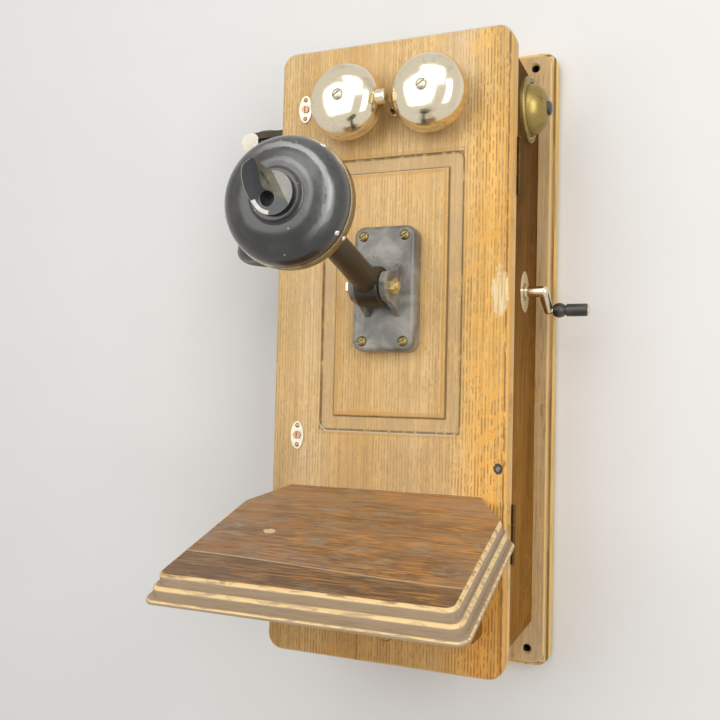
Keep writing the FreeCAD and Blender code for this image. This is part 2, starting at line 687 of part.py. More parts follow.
def bracket_screw_places():
    """Seats of the four transmitter bracket screws."""
    places = []
    for sx in (-1, 1):
        for sz in (-1, 1):
            places.append(vec(BRACKET_X + sx * BRACKET_SCREW_SPACING_X / 2, DOOR_FRONT - BRACKET_THICKNESS,
                              BRACKET_Z + sz * BRACKET_SCREW_SPACING_Z / 2))
    return places


def door_panel():
    """Full-height oak door with a sunk band round a raised field."""
    door = plate(0, 0, DOOR_WIDTH, DOOR_HEIGHT, DOOR_CORNER, DOOR_BACK, DOOR_THICKNESS)
    door = door.makeFillet(DOOR_EDGE_ROUND, edges_at(door, on_y(DOOR_FRONT)))
    floor = DOOR_FRONT + PANEL_BAND_DEPTH
    field_corner = max(PANEL_CORNER - PANEL_BAND, 1.0)
    band = plate(PANEL_X, PANEL_CENTRE_Z, PANEL_WIDTH, PANEL_HEIGHT, PANEL_CORNER, floor, PANEL_BAND_DEPTH)
    field_width, field_height = PANEL_WIDTH - 2 * PANEL_BAND, PANEL_HEIGHT - 2 * PANEL_BAND
    band = band.cut(plate(PANEL_X, PANEL_CENTRE_Z, field_width, field_height, field_corner,
                          floor, PANEL_BAND_DEPTH))
    door = door.cut(band)
    reach_x, reach_z = PANEL_WIDTH / 2 + 1, PANEL_HEIGHT / 2 + 1

    def round_the_panel(p):
        near = abs(p.x - PANEL_X) < reach_x and abs(p.z - PANEL_CENTRE_Z) < reach_z
        return near and abs(p.y - DOOR_FRONT) < 1e-4

    door = door.makeFillet(PANEL_EDGE_ROUND, edges_at(door, round_the_panel))
    for z in (LOCK_UPPER_Z, LOCK_LOWER_Z):
        door = door.cut(rod(vec(LOCK_X, DOOR_BACK + 1, z), vec(LOCK_X, DOOR_FRONT - 1, z),
                            LOCK_STUD_RADIUS + RUNNING_CLEARANCE))
    for seat in lock_screw_places():
        door = door.cut(rod(seat, seat + Y * LOCK_SCREW_LENGTH, LOCK_SCREW_SHANK_RADIUS))
    for seat in bracket_screw_places():
        door = door.cut(rod(seat, seat + Y * BRACKET_SCREW_LENGTH, BRACKET_SCREW_RADIUS))
    door = door.cut(rod(vec(GONGS_X, DOOR_BACK + 1, CLAPPER_Z), vec(GONGS_X, DOOR_FRONT - 1, CLAPPER_Z),
                        FERRULE_BORE))
    door = door.cut(rod(vec(STUD_X, DOOR_FRONT + STUD_SHANK_LENGTH, STUD_Z),
                        vec(STUD_X, DOOR_FRONT - 1, STUD_Z), STUD_SHANK_RADIUS))
    for z in (-HINGE_Z, HINGE_Z):
        door = door.cut(hinge_leaf_plate(z, DOOR_BACK - HINGE_LEAF_THICKNESS, DOOR_BACK))
    return door


def lock_plate(z):
    """Oval plate round one lock stud."""
    rim = Part.Ellipse(vec(LOCK_X, DOOR_FRONT, z + LOCK_PLATE_HEIGHT / 2),
                       vec(LOCK_X + LOCK_PLATE_WIDTH / 2, DOOR_FRONT, z), vec(LOCK_X, DOOR_FRONT, z))
    oval = Part.Face(Part.Wire(rim.toShape())).extrude(vec(0, -LOCK_PLATE_THICKNESS, 0))
    oval = oval.cut(rod(vec(LOCK_X, DOOR_FRONT + 1, z), vec(LOCK_X, DOOR_FRONT - 3, z),
                        LOCK_STUD_RADIUS + RUNNING_CLEARANCE))
    for seat in lock_screw_places():
        oval = oval.cut(rod(seat - Y, seat + Y * LOCK_SCREW_LENGTH, LOCK_SCREW_SHANK_RADIUS))
    return oval


def lock_stud(z):
    """Slotted stud through the door with a cam behind it, stored unlatched with the cam upright."""
    front = DOOR_FRONT - LOCK_PLATE_THICKNESS - LOCK_STUD_PROUD
    cam_front = DOOR_BACK + LOCK_CAM_OFFSET
    cam_back = cam_front + LOCK_CAM_THICKNESS
    stud = rod(vec(LOCK_X, front, z), vec(LOCK_X, cam_back, z), LOCK_STUD_RADIUS)
    half = LOCK_STUD_SLOT / 2
    stud = stud.cut(block(LOCK_X - half, LOCK_X + half, front, front + LOCK_STUD_SLOT,
                          z - LOCK_STUD_RADIUS, z + LOCK_STUD_RADIUS))
    cam = block(LOCK_X - LOCK_CAM_WIDTH / 2, LOCK_X + LOCK_CAM_WIDTH / 2, cam_front, cam_back,
                z - LOCK_CAM_WIDTH / 2, z + LOCK_CAM_LENGTH)
    return stud.fuse(cam).removeSplitter()


# Gongs and clapper

def gong(x):
    """Bell-shaped gong, its rim towards the door."""
    top, flat = GONG_HEIGHT, GONG_TOP_FLAT
    out = GONG_RADIUS
    shoulder_r, shoulder_h = out - 10.5, top - 3.0
    inn, thick = out - GONG_WALL, GONG_WALL
    hole = GONG_SCREW_RADIUS + RUNNING_CLEARANCE
    profile = [(out, 0), (out - 0.4, 4.0), ((out - 3.2, top * 0.6), (shoulder_r, shoulder_h)),
               ((shoulder_r - 6.0, top - 0.9), (flat, top)), (hole, top), (hole, top - thick),
               (flat, top - thick),
               ((shoulder_r - 6.6, top - thick - 0.9), (shoulder_r - 1.0, shoulder_h - thick + 0.3)),
               ((inn - 3.2, top * 0.56), (inn - 0.4, 4.0)), (inn, 0)]
    return turned(profile, vec(x, DOOR_FRONT - GONG_STANDOFF, GONG_Z), -Y)


def gong_post(x):
    """Post that carries one gong off the door."""
    top = DOOR_FRONT - GONG_STANDOFF - GONG_HEIGHT + GONG_WALL
    post = rod(vec(x, DOOR_FRONT, GONG_Z), vec(x, top, GONG_Z), GONG_POST_RADIUS)
    return post.cut(rod(vec(x, top, GONG_Z), vec(x, top + GONG_SCREW_LENGTH, GONG_Z), GONG_SCREW_RADIUS))


def gong_screw(x):
    """Slotted screw on top of one gong."""
    seat = vec(x, DOOR_FRONT - GONG_STANDOFF - GONG_HEIGHT, GONG_Z)
    return slotted_screw(seat, -Y, GONG_SCREW_HEAD_RADIUS, GONG_SCREW_HEAD_HEIGHT, GONG_SCREW_RADIUS,
                         GONG_SCREW_LENGTH)


def clapper():
    """Armature bar on two trunnions behind the door, the rod through the door and the barrel hammer."""
    y0 = DOOR_BACK + RINGER_ARMATURE_OFFSET
    bar_half = RINGER_COIL_SPACING / 2 + RINGER_COIL_RADIUS * 0.6
    bar = block(GONGS_X - bar_half, GONGS_X + bar_half, y0, y0 + RINGER_ARMATURE_THICKNESS,
                CLAPPER_Z - RINGER_ARMATURE_HEIGHT / 2, CLAPPER_Z + RINGER_ARMATURE_HEIGHT / 2)
    pivot_half = RINGER_ARMATURE_HEIGHT / 2 + RINGER_EAR_GAP + RINGER_EAR_THICKNESS
    pivot = vec(GONGS_X, CLAPPER_PIVOT_Y, CLAPPER_Z)
    trunnions = rod(pivot - Z * pivot_half, pivot + Z * pivot_half, CLAPPER_PIVOT_RADIUS)
    tip = vec(GONGS_X, DOOR_FRONT - HAMMER_OUT, CLAPPER_Z)
    stem = rod(vec(GONGS_X, y0 + 1, CLAPPER_Z), tip, CLAPPER_ROD_RADIUS)
    half = X * (HAMMER_LENGTH / 2)
    hammer = rod(tip - half, tip + half, HAMMER_RADIUS)
    hammer = hammer.makeFillet(HAMMER_ROUND, [e for e in hammer.Edges if len(e.Vertexes) == 1])
    return bar.fuse(trunnions).fuse(stem).fuse(hammer)


def clapper_ferrule():
    """Collar round the clapper's hole in the door."""
    profile = [(FERRULE_BORE, 0), (FERRULE_RADIUS, 0), (FERRULE_RADIUS, FERRULE_PROUD - 0.8),
               ((FERRULE_RADIUS - 0.3, FERRULE_PROUD - 0.2), (FERRULE_RADIUS - 0.9, FERRULE_PROUD)),
               (FERRULE_BORE, FERRULE_PROUD)]
    return turned(profile, vec(GONGS_X, DOOR_FRONT, CLAPPER_Z), -Y)


def ringer_depths():
    """Front of the coils and front of the yoke."""
    coils = DOOR_BACK + RINGER_ARMATURE_OFFSET + RINGER_ARMATURE_THICKNESS + RINGER_AIR_GAP
    return coils, coils + RINGER_COIL_LENGTH


def ringer_coil(side):
    """One electromagnet of the ringer: a winding between two cheeks."""
    x = GONGS_X + side * RINGER_COIL_SPACING / 2
    front, back = ringer_depths()
    length, cheek = back - front, RINGER_CHEEK
    out, wound = RINGER_COIL_RADIUS, RINGER_COIL_RADIUS - RINGER_CHEEK_LIP
    profile = [(0, 0), (out, 0), (out, cheek), (wound, cheek), (wound, length - cheek),
               (out, length - cheek), (out, length), (0, length)]
    return turned(profile, vec(x, front, CLAPPER_Z), Y)


def ringer_frame():
    """Yoke behind the coils on four posts from the door, with two ears that carry the clapper."""
    back = ringer_depths()[1]
    half_x = RINGER_COIL_SPACING / 2 + RINGER_COIL_RADIUS + 2 * RINGER_POST_RADIUS + 1
    half_z = RINGER_YOKE_HEIGHT / 2
    frame = block(GONGS_X - half_x, GONGS_X + half_x, back, back + RINGER_YOKE_THICKNESS,
                  CLAPPER_Z - half_z, CLAPPER_Z + half_z)
    for sx in (-1, 1):
        for sz in (-1, 1):
            x = GONGS_X + sx * (half_x - RINGER_POST_RADIUS)
            z = CLAPPER_Z + sz * (half_z - RINGER_POST_RADIUS)
            frame = frame.fuse(rod(vec(x, DOOR_BACK, z), vec(x, back + 1, z), RINGER_POST_RADIUS))
        near = RINGER_ARMATURE_HEIGHT / 2 + RINGER_EAR_GAP
        z0, z1 = sorted((CLAPPER_Z + sx * near, CLAPPER_Z + sx * (near + RINGER_EAR_THICKNESS)))
        half = RINGER_EAR_WIDTH / 2
        frame = frame.fuse(block(GONGS_X - half, GONGS_X + half, CLAPPER_PIVOT_Y - half, back + 1, z0, z1))
    pivot = vec(GONGS_X, CLAPPER_PIVOT_Y, CLAPPER_Z)
    bore = rod(pivot - Z * half_z, pivot + Z * half_z, CLAPPER_PIVOT_RADIUS + RUNNING_CLEARANCE)
    return frame.cut(bore)


# Transmitter

def transmitter_bracket():
    """Cast bracket on the door, with two lugs for the arm's pivot."""
    base = plate(BRACKET_X, BRACKET_Z, BRACKET_WIDTH, BRACKET_HEIGHT, BRACKET_CORNER,
                 DOOR_FRONT, BRACKET_THICKNESS)
    face = DOOR_FRONT - BRACKET_THICKNESS
    base = base.makeFillet(BRACKET_EDGE_ROUND, edges_at(base, on_y(face)))
    inner = ARM_WIDTH / 2 + ARM_SIDE_GAP
    for x in (BRACKET_X - inner - LUG_THICKNESS, BRACKET_X + inner):
        base = base.fuse(lug(x, face))
    base = base.cut(rod(pivot_point(-BRACKET_WIDTH), pivot_point(BRACKET_WIDTH),
                        PIVOT_BOLT_RADIUS + RUNNING_CLEARANCE))
    for seat in bracket_screw_places():
        base = base.cut(rod(seat - Y, seat + Y * BRACKET_SCREW_LENGTH, BRACKET_SCREW_RADIUS))
    return base


def lug(x, face):
    """One upright lug: a rounded nose at the pivot that flares to a wide foot on the bracket."""
    root = face + BRACKET_EDGE_ROUND
    half = LUG_FOOT / 2
    nose = vec(x, PIVOT_Y - LUG_RADIUS, PIVOT_Z)
    top, low = vec(x, PIVOT_Y, PIVOT_Z + LUG_RADIUS), vec(x, PIVOT_Y, PIVOT_Z - LUG_RADIUS)
    foot_top, foot_low = vec(x, face, PIVOT_Z + half), vec(x, face, PIVOT_Z - half)
    sag = (half - LUG_RADIUS) * 0.72
    flare_y = (PIVOT_Y + face) / 2
    edges = [Part.Arc(low, nose, top).toShape(),
             Part.Arc(top, vec(x, flare_y, PIVOT_Z + half - sag), foot_top).toShape(),
             Part.makeLine(foot_top, vec(x, root, PIVOT_Z + half)),
             Part.makeLine(vec(x, root, PIVOT_Z + half), vec(x, root, PIVOT_Z - half)),
             Part.makeLine(vec(x, root, PIVOT_Z - half), foot_low),
             Part.Arc(foot_low, vec(x, flare_y, PIVOT_Z - half + sag), low).toShape()]
    return Part.Face(Part.Wire(edges)).extrude(vec(LUG_THICKNESS, 0, 0))


def pivot_point(across):
    """Point on the pivot's axis, across from the bracket's middle."""
    return vec(BRACKET_X + across, PIVOT_Y, PIVOT_Z)


def pivot_bolt():
    """Bolt through the lugs and the arm, its head on the left."""
    outer = ARM_WIDTH / 2 + ARM_SIDE_GAP + LUG_THICKNESS
    end = pivot_point(outer + PIVOT_NUT_HEIGHT + PIVOT_BOLT_TAIL)
    bolt = rod(pivot_point(-outer), end, PIVOT_BOLT_RADIUS)
    head = hexagon(pivot_point(-outer - PIVOT_HEAD_HEIGHT), X, PIVOT_HEAD_ACROSS, PIVOT_HEAD_HEIGHT)
    return bolt.fuse(head)


def pivot_nut():
    """Hexagonal nut on the right-hand end of the pivot bolt."""
    outer = ARM_WIDTH / 2 + ARM_SIDE_GAP + LUG_THICKNESS
    nut = hexagon(pivot_point(outer), X, PIVOT_HEAD_ACROSS, PIVOT_NUT_HEIGHT)
    end = pivot_point(outer + PIVOT_NUT_HEIGHT + 1)
    return nut.cut(rod(pivot_point(outer - 1), end, PIVOT_BOLT_RADIUS))


def arm_end():
    """Centre of the cup's back, where the arm ends."""
    return HEAD_CENTRE - HEAD_AXIS * CUP_DEPTH


def transmitter_arm():
    """Tapering arm from a flat-sided eye on the pivot bolt to the back of the cup."""
    side = ARM_WIDTH / 2
    pivot, end = pivot_point(0), arm_end()
    run = end - pivot
    length = run.Length + 2 * ARM_END_RADIUS
    hole = rod(pivot_point(-ARM_WIDTH), pivot_point(ARM_WIDTH), PIVOT_BOLT_RADIUS + RUNNING_CLEARANCE)
    eye = rod(pivot_point(-side), pivot_point(side), ARM_EYE_RADIUS)
    eye = eye.makeFillet(ARM_EYE_ROUND, [e for e in eye.Edges if len(e.Vertexes) == 1])
    stem = Part.makeCone(ARM_ROOT_RADIUS, ARM_END_RADIUS, length, pivot, run)
    stem = stem.common(block(BRACKET_X - side, BRACKET_X + side, pivot.y - length, pivot.y + length,
                             pivot.z - length, pivot.z + length))
    stem = stem.cut(Part.makeCylinder(2 * ARM_ROOT_RADIUS, length, end, HEAD_AXIS))
    return eye.cut(hole).fuse(stem.cut(hole))


def transmitter_cup():
    """Spun bowl behind the faceplate; its rim lies in the plane of the bezel's back."""
    out, back, depth, wall = HEAD_RADIUS, CUP_BACK_RADIUS, CUP_DEPTH, CUP_WALL
    low = -depth
    waist = -CUP_BAND
    profile = [(0, low), (back, low), ((out * 0.78, low * 0.62), (out, waist)), (out, 0), (out - wall, 0),
               (out - wall, waist), ((out * 0.78 - wall, low * 0.62 + wall * 0.6), (back - 1, low + wall)),
               (0, low + wall)]
    return turned(profile, HEAD_CENTRE, HEAD_AXIS)


def transmitter_bezel():
    """Bright ring that clamps the faceplate to the cup."""
    inner, outer = FACE_RIM_RADIUS, HEAD_RADIUS + BEZEL_LIP
    high, turn, nook = BEZEL_HEIGHT, BEZEL_ROUND, BEZEL_ROUND * (1 - math.sqrt(0.5))
    profile = [(inner, 0), (outer, 0), (outer, high - turn),
               ((outer - nook, high - nook), (outer - turn, high)), (inner, high)]
    return turned(profile, HEAD_CENTRE, HEAD_AXIS)


def transmitter_face():
    """Black domed faceplate with a raised boss round the mouthpiece's seat."""
    rim, wall = FACE_RIM_RADIUS, FACE_WALL
    bulge_r, bulge_h = rim - FACE_BULGE_INSET, FACE_BULGE_HEIGHT
    shoulder, high = FACE_SHOULDER_RADIUS, FACE_SHOULDER_HEIGHT
    boss, crown, top = FACE_BOSS_RADIUS, FACE_CROWN_HEIGHT, FACE_BOSS_HEIGHT
    foot, turn = boss + FACE_FOOT_ROUND, FACE_BOSS_ROUND
    slope_r = (shoulder + foot) / 2
    slope_h = (high + crown) / 2 + FACE_CROWN_SWELL
    nook = FACE_FOOT_ROUND * (1 - math.sqrt(0.5))
    profile = [(rim, 0), (rim, BEZEL_HEIGHT), ((bulge_r, bulge_h), (shoulder, high)),
               ((slope_r, slope_h), (foot, crown)),
               ((boss + nook, crown + nook), (boss, crown + FACE_FOOT_ROUND)), (boss - turn, top),
               (MOUTH_RADIUS, top), (MOUTH_RADIUS, crown - wall / 2), (boss, crown - wall),
               ((slope_r - wall / 4, slope_h - wall), (shoulder - wall / 2, high - wall)),
               ((bulge_r - wall, bulge_h - wall / 2), (rim - wall, wall / 2)), (rim - wall, 0)]
    return turned(profile, HEAD_CENTRE, HEAD_AXIS)


def mouthpiece_stub():
    """Broken mouthpiece: a thick flared shard is left, and the right side is gone to its seat."""
    low = FACE_CROWN_HEIGHT - FACE_WALL / 2
    seat = FACE_BOSS_HEIGHT + MOUTH_SEAT_RISE
    lip = FACE_BOSS_HEIGHT + MOUTH_LOW_HEIGHT
    top = FACE_BOSS_HEIGHT + MOUTH_HEIGHT
    funnel = FACE_BOSS_HEIGHT + MOUTH_FUNNEL_RISE
    out, wide, bend = MOUTH_RADIUS, MOUTH_RADIUS + MOUTH_FLARE, MOUTH_FLARE / 4
    mouth = wide - MOUTH_RIM
    bowl = ((mouth + MOUTH_THROAT) / 2 + bend, (funnel + top) / 2 - bend)
    profile = [(MOUTH_THROAT, low), (out, low), (out, lip), ((out + bend, (lip + top) / 2), (wide, top)),
               (mouth, top), (bowl, (MOUTH_THROAT, funnel))]
    stub = turned(profile, vec(0, 0, 0), Z)
    span = 2 * wide
    gone = block(MOUTH_BREAK, span, -span, span, seat, top + span)
    gone.rotate(vec(0, 0, 0), Z, MOUTH_BREAK_TURN)
    corners = [vec(-span, -span, lip), vec(0, -span, lip), vec(out, -span, top), vec(span, -span, top),
               vec(span, -span, top + span), vec(-span, -span, top + span)]
    slant = Part.Face(Part.makePolygon(corners + corners[:1])).extrude(vec(0, 2 * span, 0))
    slant.rotate(vec(0, 0, 0), Z, MOUTH_HIGH_TURN)
    stub = stub.cut(gone).cut(slant)
    stub.Placement = FreeCAD.Placement(HEAD_CENTRE, FreeCAD.Rotation(Z, HEAD_AXIS))
    return stub


def transmitter_diaphragm():
    """Thin disc inside the head, held just behind the faceplate's rim."""
    inner = HEAD_CENTRE - HEAD_AXIS * (DIAPHRAGM_THICKNESS + 1)
    return rod(inner, inner + HEAD_AXIS * DIAPHRAGM_THICKNESS, DIAPHRAGM_RADIUS)


def carbon_button():
    """Carbon capsule behind the diaphragm."""
    top = HEAD_CENTRE - HEAD_AXIS * (DIAPHRAGM_THICKNESS + 1)
    return rod(top - HEAD_AXIS * CARBON_LENGTH, top, CARBON_RADIUS)


# Writing shelf

def shelf_outline(grow, depth):
    """Outline of one layer of the shelf: chamfered at the back, rounded at the front, at one depth."""
    half = SHELF_WIDTH / 2 + grow
    front = -SHELF_LENGTH - grow
    back_half = SHELF_WIDTH / 2 - SHELF_CHAMFER_X
    corner = SHELF_CORNER
    nook = corner * (1 - math.sqrt(0.5))
    tuck = SHELF_THICKNESS
    points = {
        "back_left": vec(-back_half, 0, depth), "tuck_left": vec(-back_half, tuck, depth),
        "tuck_right": vec(back_half, tuck, depth), "back_right": vec(back_half, 0, depth),
        "side_right": vec(half, -SHELF_CHAMFER_Y, depth), "turn_right": vec(half, front + corner, depth),
        "front_right": vec(half - corner, front, depth), "front_left": vec(-half + corner, front, depth),
        "turn_left": vec(-half, front + corner, depth), "side_left": vec(-half, -SHELF_CHAMFER_Y, depth)}
    right_mid = vec(half - nook, front + nook, depth)
    left_mid = vec(-half + nook, front + nook, depth)
    p = points
    edges = [Part.makeLine(p["back_left"], p["tuck_left"]), Part.makeLine(p["tuck_left"], p["tuck_right"]),
             Part.makeLine(p["tuck_right"], p["back_right"]),
             Part.makeLine(p["back_right"], p["side_right"]),
             Part.makeLine(p["side_right"], p["turn_right"]),
             Part.Arc(p["turn_right"], right_mid, p["front_right"]).toShape(),
             Part.makeLine(p["front_right"], p["front_left"]),
             Part.Arc(p["front_left"], left_mid, p["turn_left"]).toShape(),
             Part.makeLine(p["turn_left"], p["side_left"]), Part.makeLine(p["side_left"], p["back_left"])]
    return Part.Face(Part.Wire(edges))


def place_shelf(shape):
    """Tilt a piece drawn level at the origin to the shelf's slope, and put it on the door."""
    shape.rotate(vec(0, 0, 0), X, SHELF_SLOPE)
    shape.translate(vec(SHELF_X, DOOR_FRONT, SHELF_BACK_Z))
    return shape


def in_front_of_door(shape):
    """Cut away whatever reaches behind the door's front."""
    return shape.cut(block(-FAR, FAR, DOOR_FRONT, DOOR_FRONT + FAR, -FAR, FAR))


def shelf_layers():
    """Level stack: two reeds and a bead under them, each one wider than the layer above it."""
    stack = None
    reed, bead = (SHELF_REED_HEIGHT, SHELF_REED_ROUND), (SHELF_BEAD_HEIGHT, SHELF_BEAD_ROUND)
    top = 0.0
    for i, (height, edge_round) in enumerate([reed] * SHELF_REEDS + [bead]):
        layer = shelf_outline(i * SHELF_REED_STEP, top - height).extrude(vec(0, 0, height))

        def along_rim(p, level=top):
            return abs(p.z - level) < 1e-4 and p.y < -SHELF_CHAMFER_Y + 0.01

        layer = layer.makeFillet(edge_round, edges_at(layer, along_rim))
        stack = layer if stack is None else stack.fuse(layer)
        top -= height
    return stack.removeSplitter()


def split_shelf():
    """The shelf's main board and the strip glued along its front, which is wider on the left."""
    stack = shelf_layers()
    middle = -SHELF_LENGTH + (SHELF_STRIP_LEFT + SHELF_STRIP_RIGHT) / 2
    skew = SHELF_STRIP_RIGHT - SHELF_STRIP_LEFT
    left, right = vec(-SHELF_WIDTH, middle - skew, -FAR), vec(SHELF_WIDTH, middle + skew, -FAR)
    ends = [vec(SHELF_WIDTH, -FAR, -FAR), vec(-SHELF_WIDTH, -FAR, -FAR)]
    front = Part.Face(Part.makePolygon([left, right] + ends + [left])).extrude(vec(0, 0, 2 * FAR))
    board = in_front_of_door(place_shelf(stack.cut(front)))
    strip = place_shelf(stack.common(front))
    return board, strip


def shelf_arm(side):
    """Wooden bracket under one side of the shelf, against the door."""
    outer = SHELF_WIDTH / 2 - SHELF_ARM_INSET
    x = SHELF_X + (outer - SHELF_ARM_THICKNESS if side > 0 else -outer)
    slope = math.radians(SHELF_SLOPE)
    under = SHELF_BACK_Z - SHELF_THICKNESS / math.cos(slope)
    low = under - SHELF_ARM_DROP
    front = DOOR_FRONT - SHELF_ARM_REACH
    front_z = under - SHELF_ARM_REACH * math.tan(slope)
    toe = vec(x, front, front_z - SHELF_ARM_TOE)
    foot = vec(x, DOOR_FRONT - SHELF_ARM_FOOT, low)
    hollow = (toe + foot) * 0.5 + vec(0, SHELF_ARM_HOLLOW, SHELF_ARM_HOLLOW)
    back_top, back_low = vec(x, DOOR_FRONT, under), vec(x, DOOR_FRONT, low)
    front_top = vec(x, front, front_z)
    edges = [Part.makeLine(back_low, back_top), Part.makeLine(back_top, front_top),
             Part.makeLine(front_top, toe), Part.Arc(toe, hollow, foot).toShape(),
             Part.makeLine(foot, back_low)]
    return Part.Face(Part.Wire(edges)).extrude(vec(SHELF_ARM_THICKNESS, 0, 0))


def door_stud():
    """Round-headed brass screw low on the door."""
    return slotted_screw(vec(STUD_X, DOOR_FRONT, STUD_Z), -Y, STUD_RADIUS, STUD_HEIGHT, STUD_SHANK_RADIUS,
                         STUD_SHANK_LENGTH)


# Crank and generator

def crank_line(x, y=SIDE_Y, z=CRANK_Z):
    """Point at x on the crank's axis, or on a line beside it."""
    return vec(x, y, z)


def crank():
    """Shaft, elbow, arm and grip pin in one bent bar."""
    elbow = crank_line(CRANK_REACH)
    knee = vec(CRANK_REACH, GRIP_Y, GRIP_Z)
    bar = rod(crank_line(PLATE_LEFT - 2), elbow, CRANK_SHAFT_RADIUS)
    bar = bar.fuse(Part.makeSphere(CRANK_SHAFT_RADIUS, elbow))
    run = knee - elbow
    bar = bar.fuse(Part.makeCone(CRANK_SHAFT_RADIUS, CRANK_ARM_RADIUS, run.Length, elbow, run))
    bar = bar.fuse(Part.makeSphere(CRANK_ARM_RADIUS, knee))
    pin_end = GRIP_END + GRIP_END_GAP
    bar = bar.fuse(rod(knee, crank_line(pin_end, GRIP_Y, GRIP_Z), CRANK_PIN_RADIUS))
    bar = bar.fuse(rod(knee, crank_line(GRIP_START - GRIP_END_GAP, GRIP_Y, GRIP_Z), CRANK_ARM_RADIUS))
    flat = GRIP_RIVET_RADIUS * 0.2
    dome = ((GRIP_RIVET_RADIUS * 0.75, GRIP_RIVET_HEIGHT * 0.75), (flat, GRIP_RIVET_HEIGHT))
    rivet = turned([(0, 0), (GRIP_RIVET_RADIUS, 0), dome, (0, GRIP_RIVET_HEIGHT)],
                   crank_line(pin_end, GRIP_Y, GRIP_Z), X)
    return bar.fuse(rivet)


def crank_grip():
    """Turned grip that spins on the crank's pin: a round collar, a groove and a plain barrel."""
    bore = CRANK_PIN_RADIUS + RUNNING_CLEARANCE
    collar, groove = GRIP_COLLAR_LENGTH, GRIP_COLLAR_LENGTH + GRIP_GROOVE
    neck = GRIP_RADIUS - 1.2
    profile = [(bore, 0), (neck, 0), ((GRIP_COLLAR_RADIUS, collar / 2), (neck + 0.6, collar)),
               (neck, collar), (neck, groove), (GRIP_RADIUS, groove + 0.6), (GRIP_RADIUS, GRIP_LENGTH - 0.8),
               (GRIP_RADIUS - 0.8, GRIP_LENGTH), (bore, GRIP_LENGTH)]
    return turned(profile, crank_line(GRIP_START, GRIP_Y, GRIP_Z), X)


def crank_plate():
    """Thin round plate on the outside of the right side, round the crank."""
    disc = rod(crank_line(SIDE_OUT), crank_line(SIDE_OUT + CRANK_PLATE_THICKNESS), CRANK_PLATE_RADIUS)
    return disc.cut(rod(crank_line(SIDE_IN), crank_line(SIDE_OUT + BOX_WALL), BUSHING_RADIUS))


def crank_bushing():
    """Bearing bush through the right side, with its flange inside the box."""
    bush = rod(crank_line(SIDE_IN), crank_line(SIDE_OUT + CRANK_PLATE_THICKNESS), BUSHING_RADIUS)
    bush = bush.fuse(rod(crank_line(SIDE_IN - BUSHING_FLANGE), crank_line(SIDE_IN), BUSHING_FLANGE_RADIUS))
    return bush.cut(rod(crank_line(SIDE_IN - BOX_WALL), crank_line(SIDE_OUT + BOX_WALL),
                        CRANK_SHAFT_RADIUS + RUNNING_CLEARANCE))


def drive_gear():
    """Large gear on the crank shaft inside the right side."""
    wheel = gear(GEAR_TEETH, GEAR_LEFT, GEAR_RIGHT, SIDE_Y, CRANK_Z, -90)
    return wheel.cut(rod(crank_line(GEAR_LEFT - 1), crank_line(GEAR_RIGHT + 1), CRANK_SHAFT_RADIUS))


def armature_line(x):
    """Point at x on the armature's axis."""
    return vec(x, SIDE_Y, ARMATURE_Z)


def generator_armature():
    """Shuttle armature with its shaft and the pinion that the drive gear turns."""
    shaft = rod(armature_line(PLATE_LEFT - 2), armature_line(GEAR_RIGHT), ARMATURE_SHAFT_RADIUS)
    core = rod(armature_line(MAGNETS_LEFT + 2), armature_line(MAGNETS_RIGHT - 2), ARMATURE_RADIUS)
    slot_half = ARMATURE_RADIUS * 0.42
    for side in (-1, 1):
        y0, y1 = sorted((SIDE_Y + side * ARMATURE_RADIUS * 0.35, SIDE_Y + side * ARMATURE_RADIUS * 1.2))
        core = core.cut(block(MAGNETS_LEFT, MAGNETS_RIGHT, y0, y1,
                              ARMATURE_Z - slot_half, ARMATURE_Z + slot_half))
    half_pitch = 180.0 / PINION_TEETH
    pinion = gear(PINION_TEETH, GEAR_LEFT, GEAR_RIGHT, SIDE_Y, ARMATURE_Z, 90 + half_pitch)
    return shaft.fuse(core).fuse(pinion)


def generator_magnet(x):
    """One upright horseshoe magnet."""
    foot = INNER_SHELF_TOP
    spring = CRANK_Z + MAGNET_ARCH_RISE
    outer = MAGNET_HALF_WIDTH
    inner = MAGNET_HALF_WIDTH - MAGNET_THICKNESS

    def at(y, z):
        return vec(x, SIDE_Y + y, z)

    edges = [Part.makeLine(at(-outer, foot), at(-outer, spring)),
             Part.Arc(at(-outer, spring), at(0, spring + outer), at(outer, spring)).toShape(),
             Part.makeLine(at(outer, spring), at(outer, foot)),
             Part.makeLine(at(outer, foot), at(inner, foot)),
             Part.makeLine(at(inner, foot), at(inner, spring)),
             Part.Arc(at(inner, spring), at(0, spring + inner), at(-inner, spring)).toShape(),
             Part.makeLine(at(-inner, spring), at(-inner, foot)),
             Part.makeLine(at(-inner, foot), at(-outer, foot))]
    return Part.Face(Part.Wire(edges)).extrude(vec(MAGNET_WIDTH, 0, 0))


def pole_piece(side):
    """Iron block between the magnets' legs and the armature."""
    inner_r = MAGNET_HALF_WIDTH - MAGNET_THICKNESS
    y0, y1 = sorted((SIDE_Y + side * POLE_APART / 2, SIDE_Y + side * inner_r))
    top = ARMATURE_Z + ARMATURE_RADIUS * 0.8
    piece = block(MAGNETS_LEFT, MAGNETS_RIGHT, y0, y1, INNER_SHELF_TOP, top)
    bore = rod(armature_line(MAGNETS_LEFT - 1), armature_line(MAGNETS_RIGHT + 1),
               ARMATURE_RADIUS + POLE_BORE_GAP)
    return piece.cut(bore)


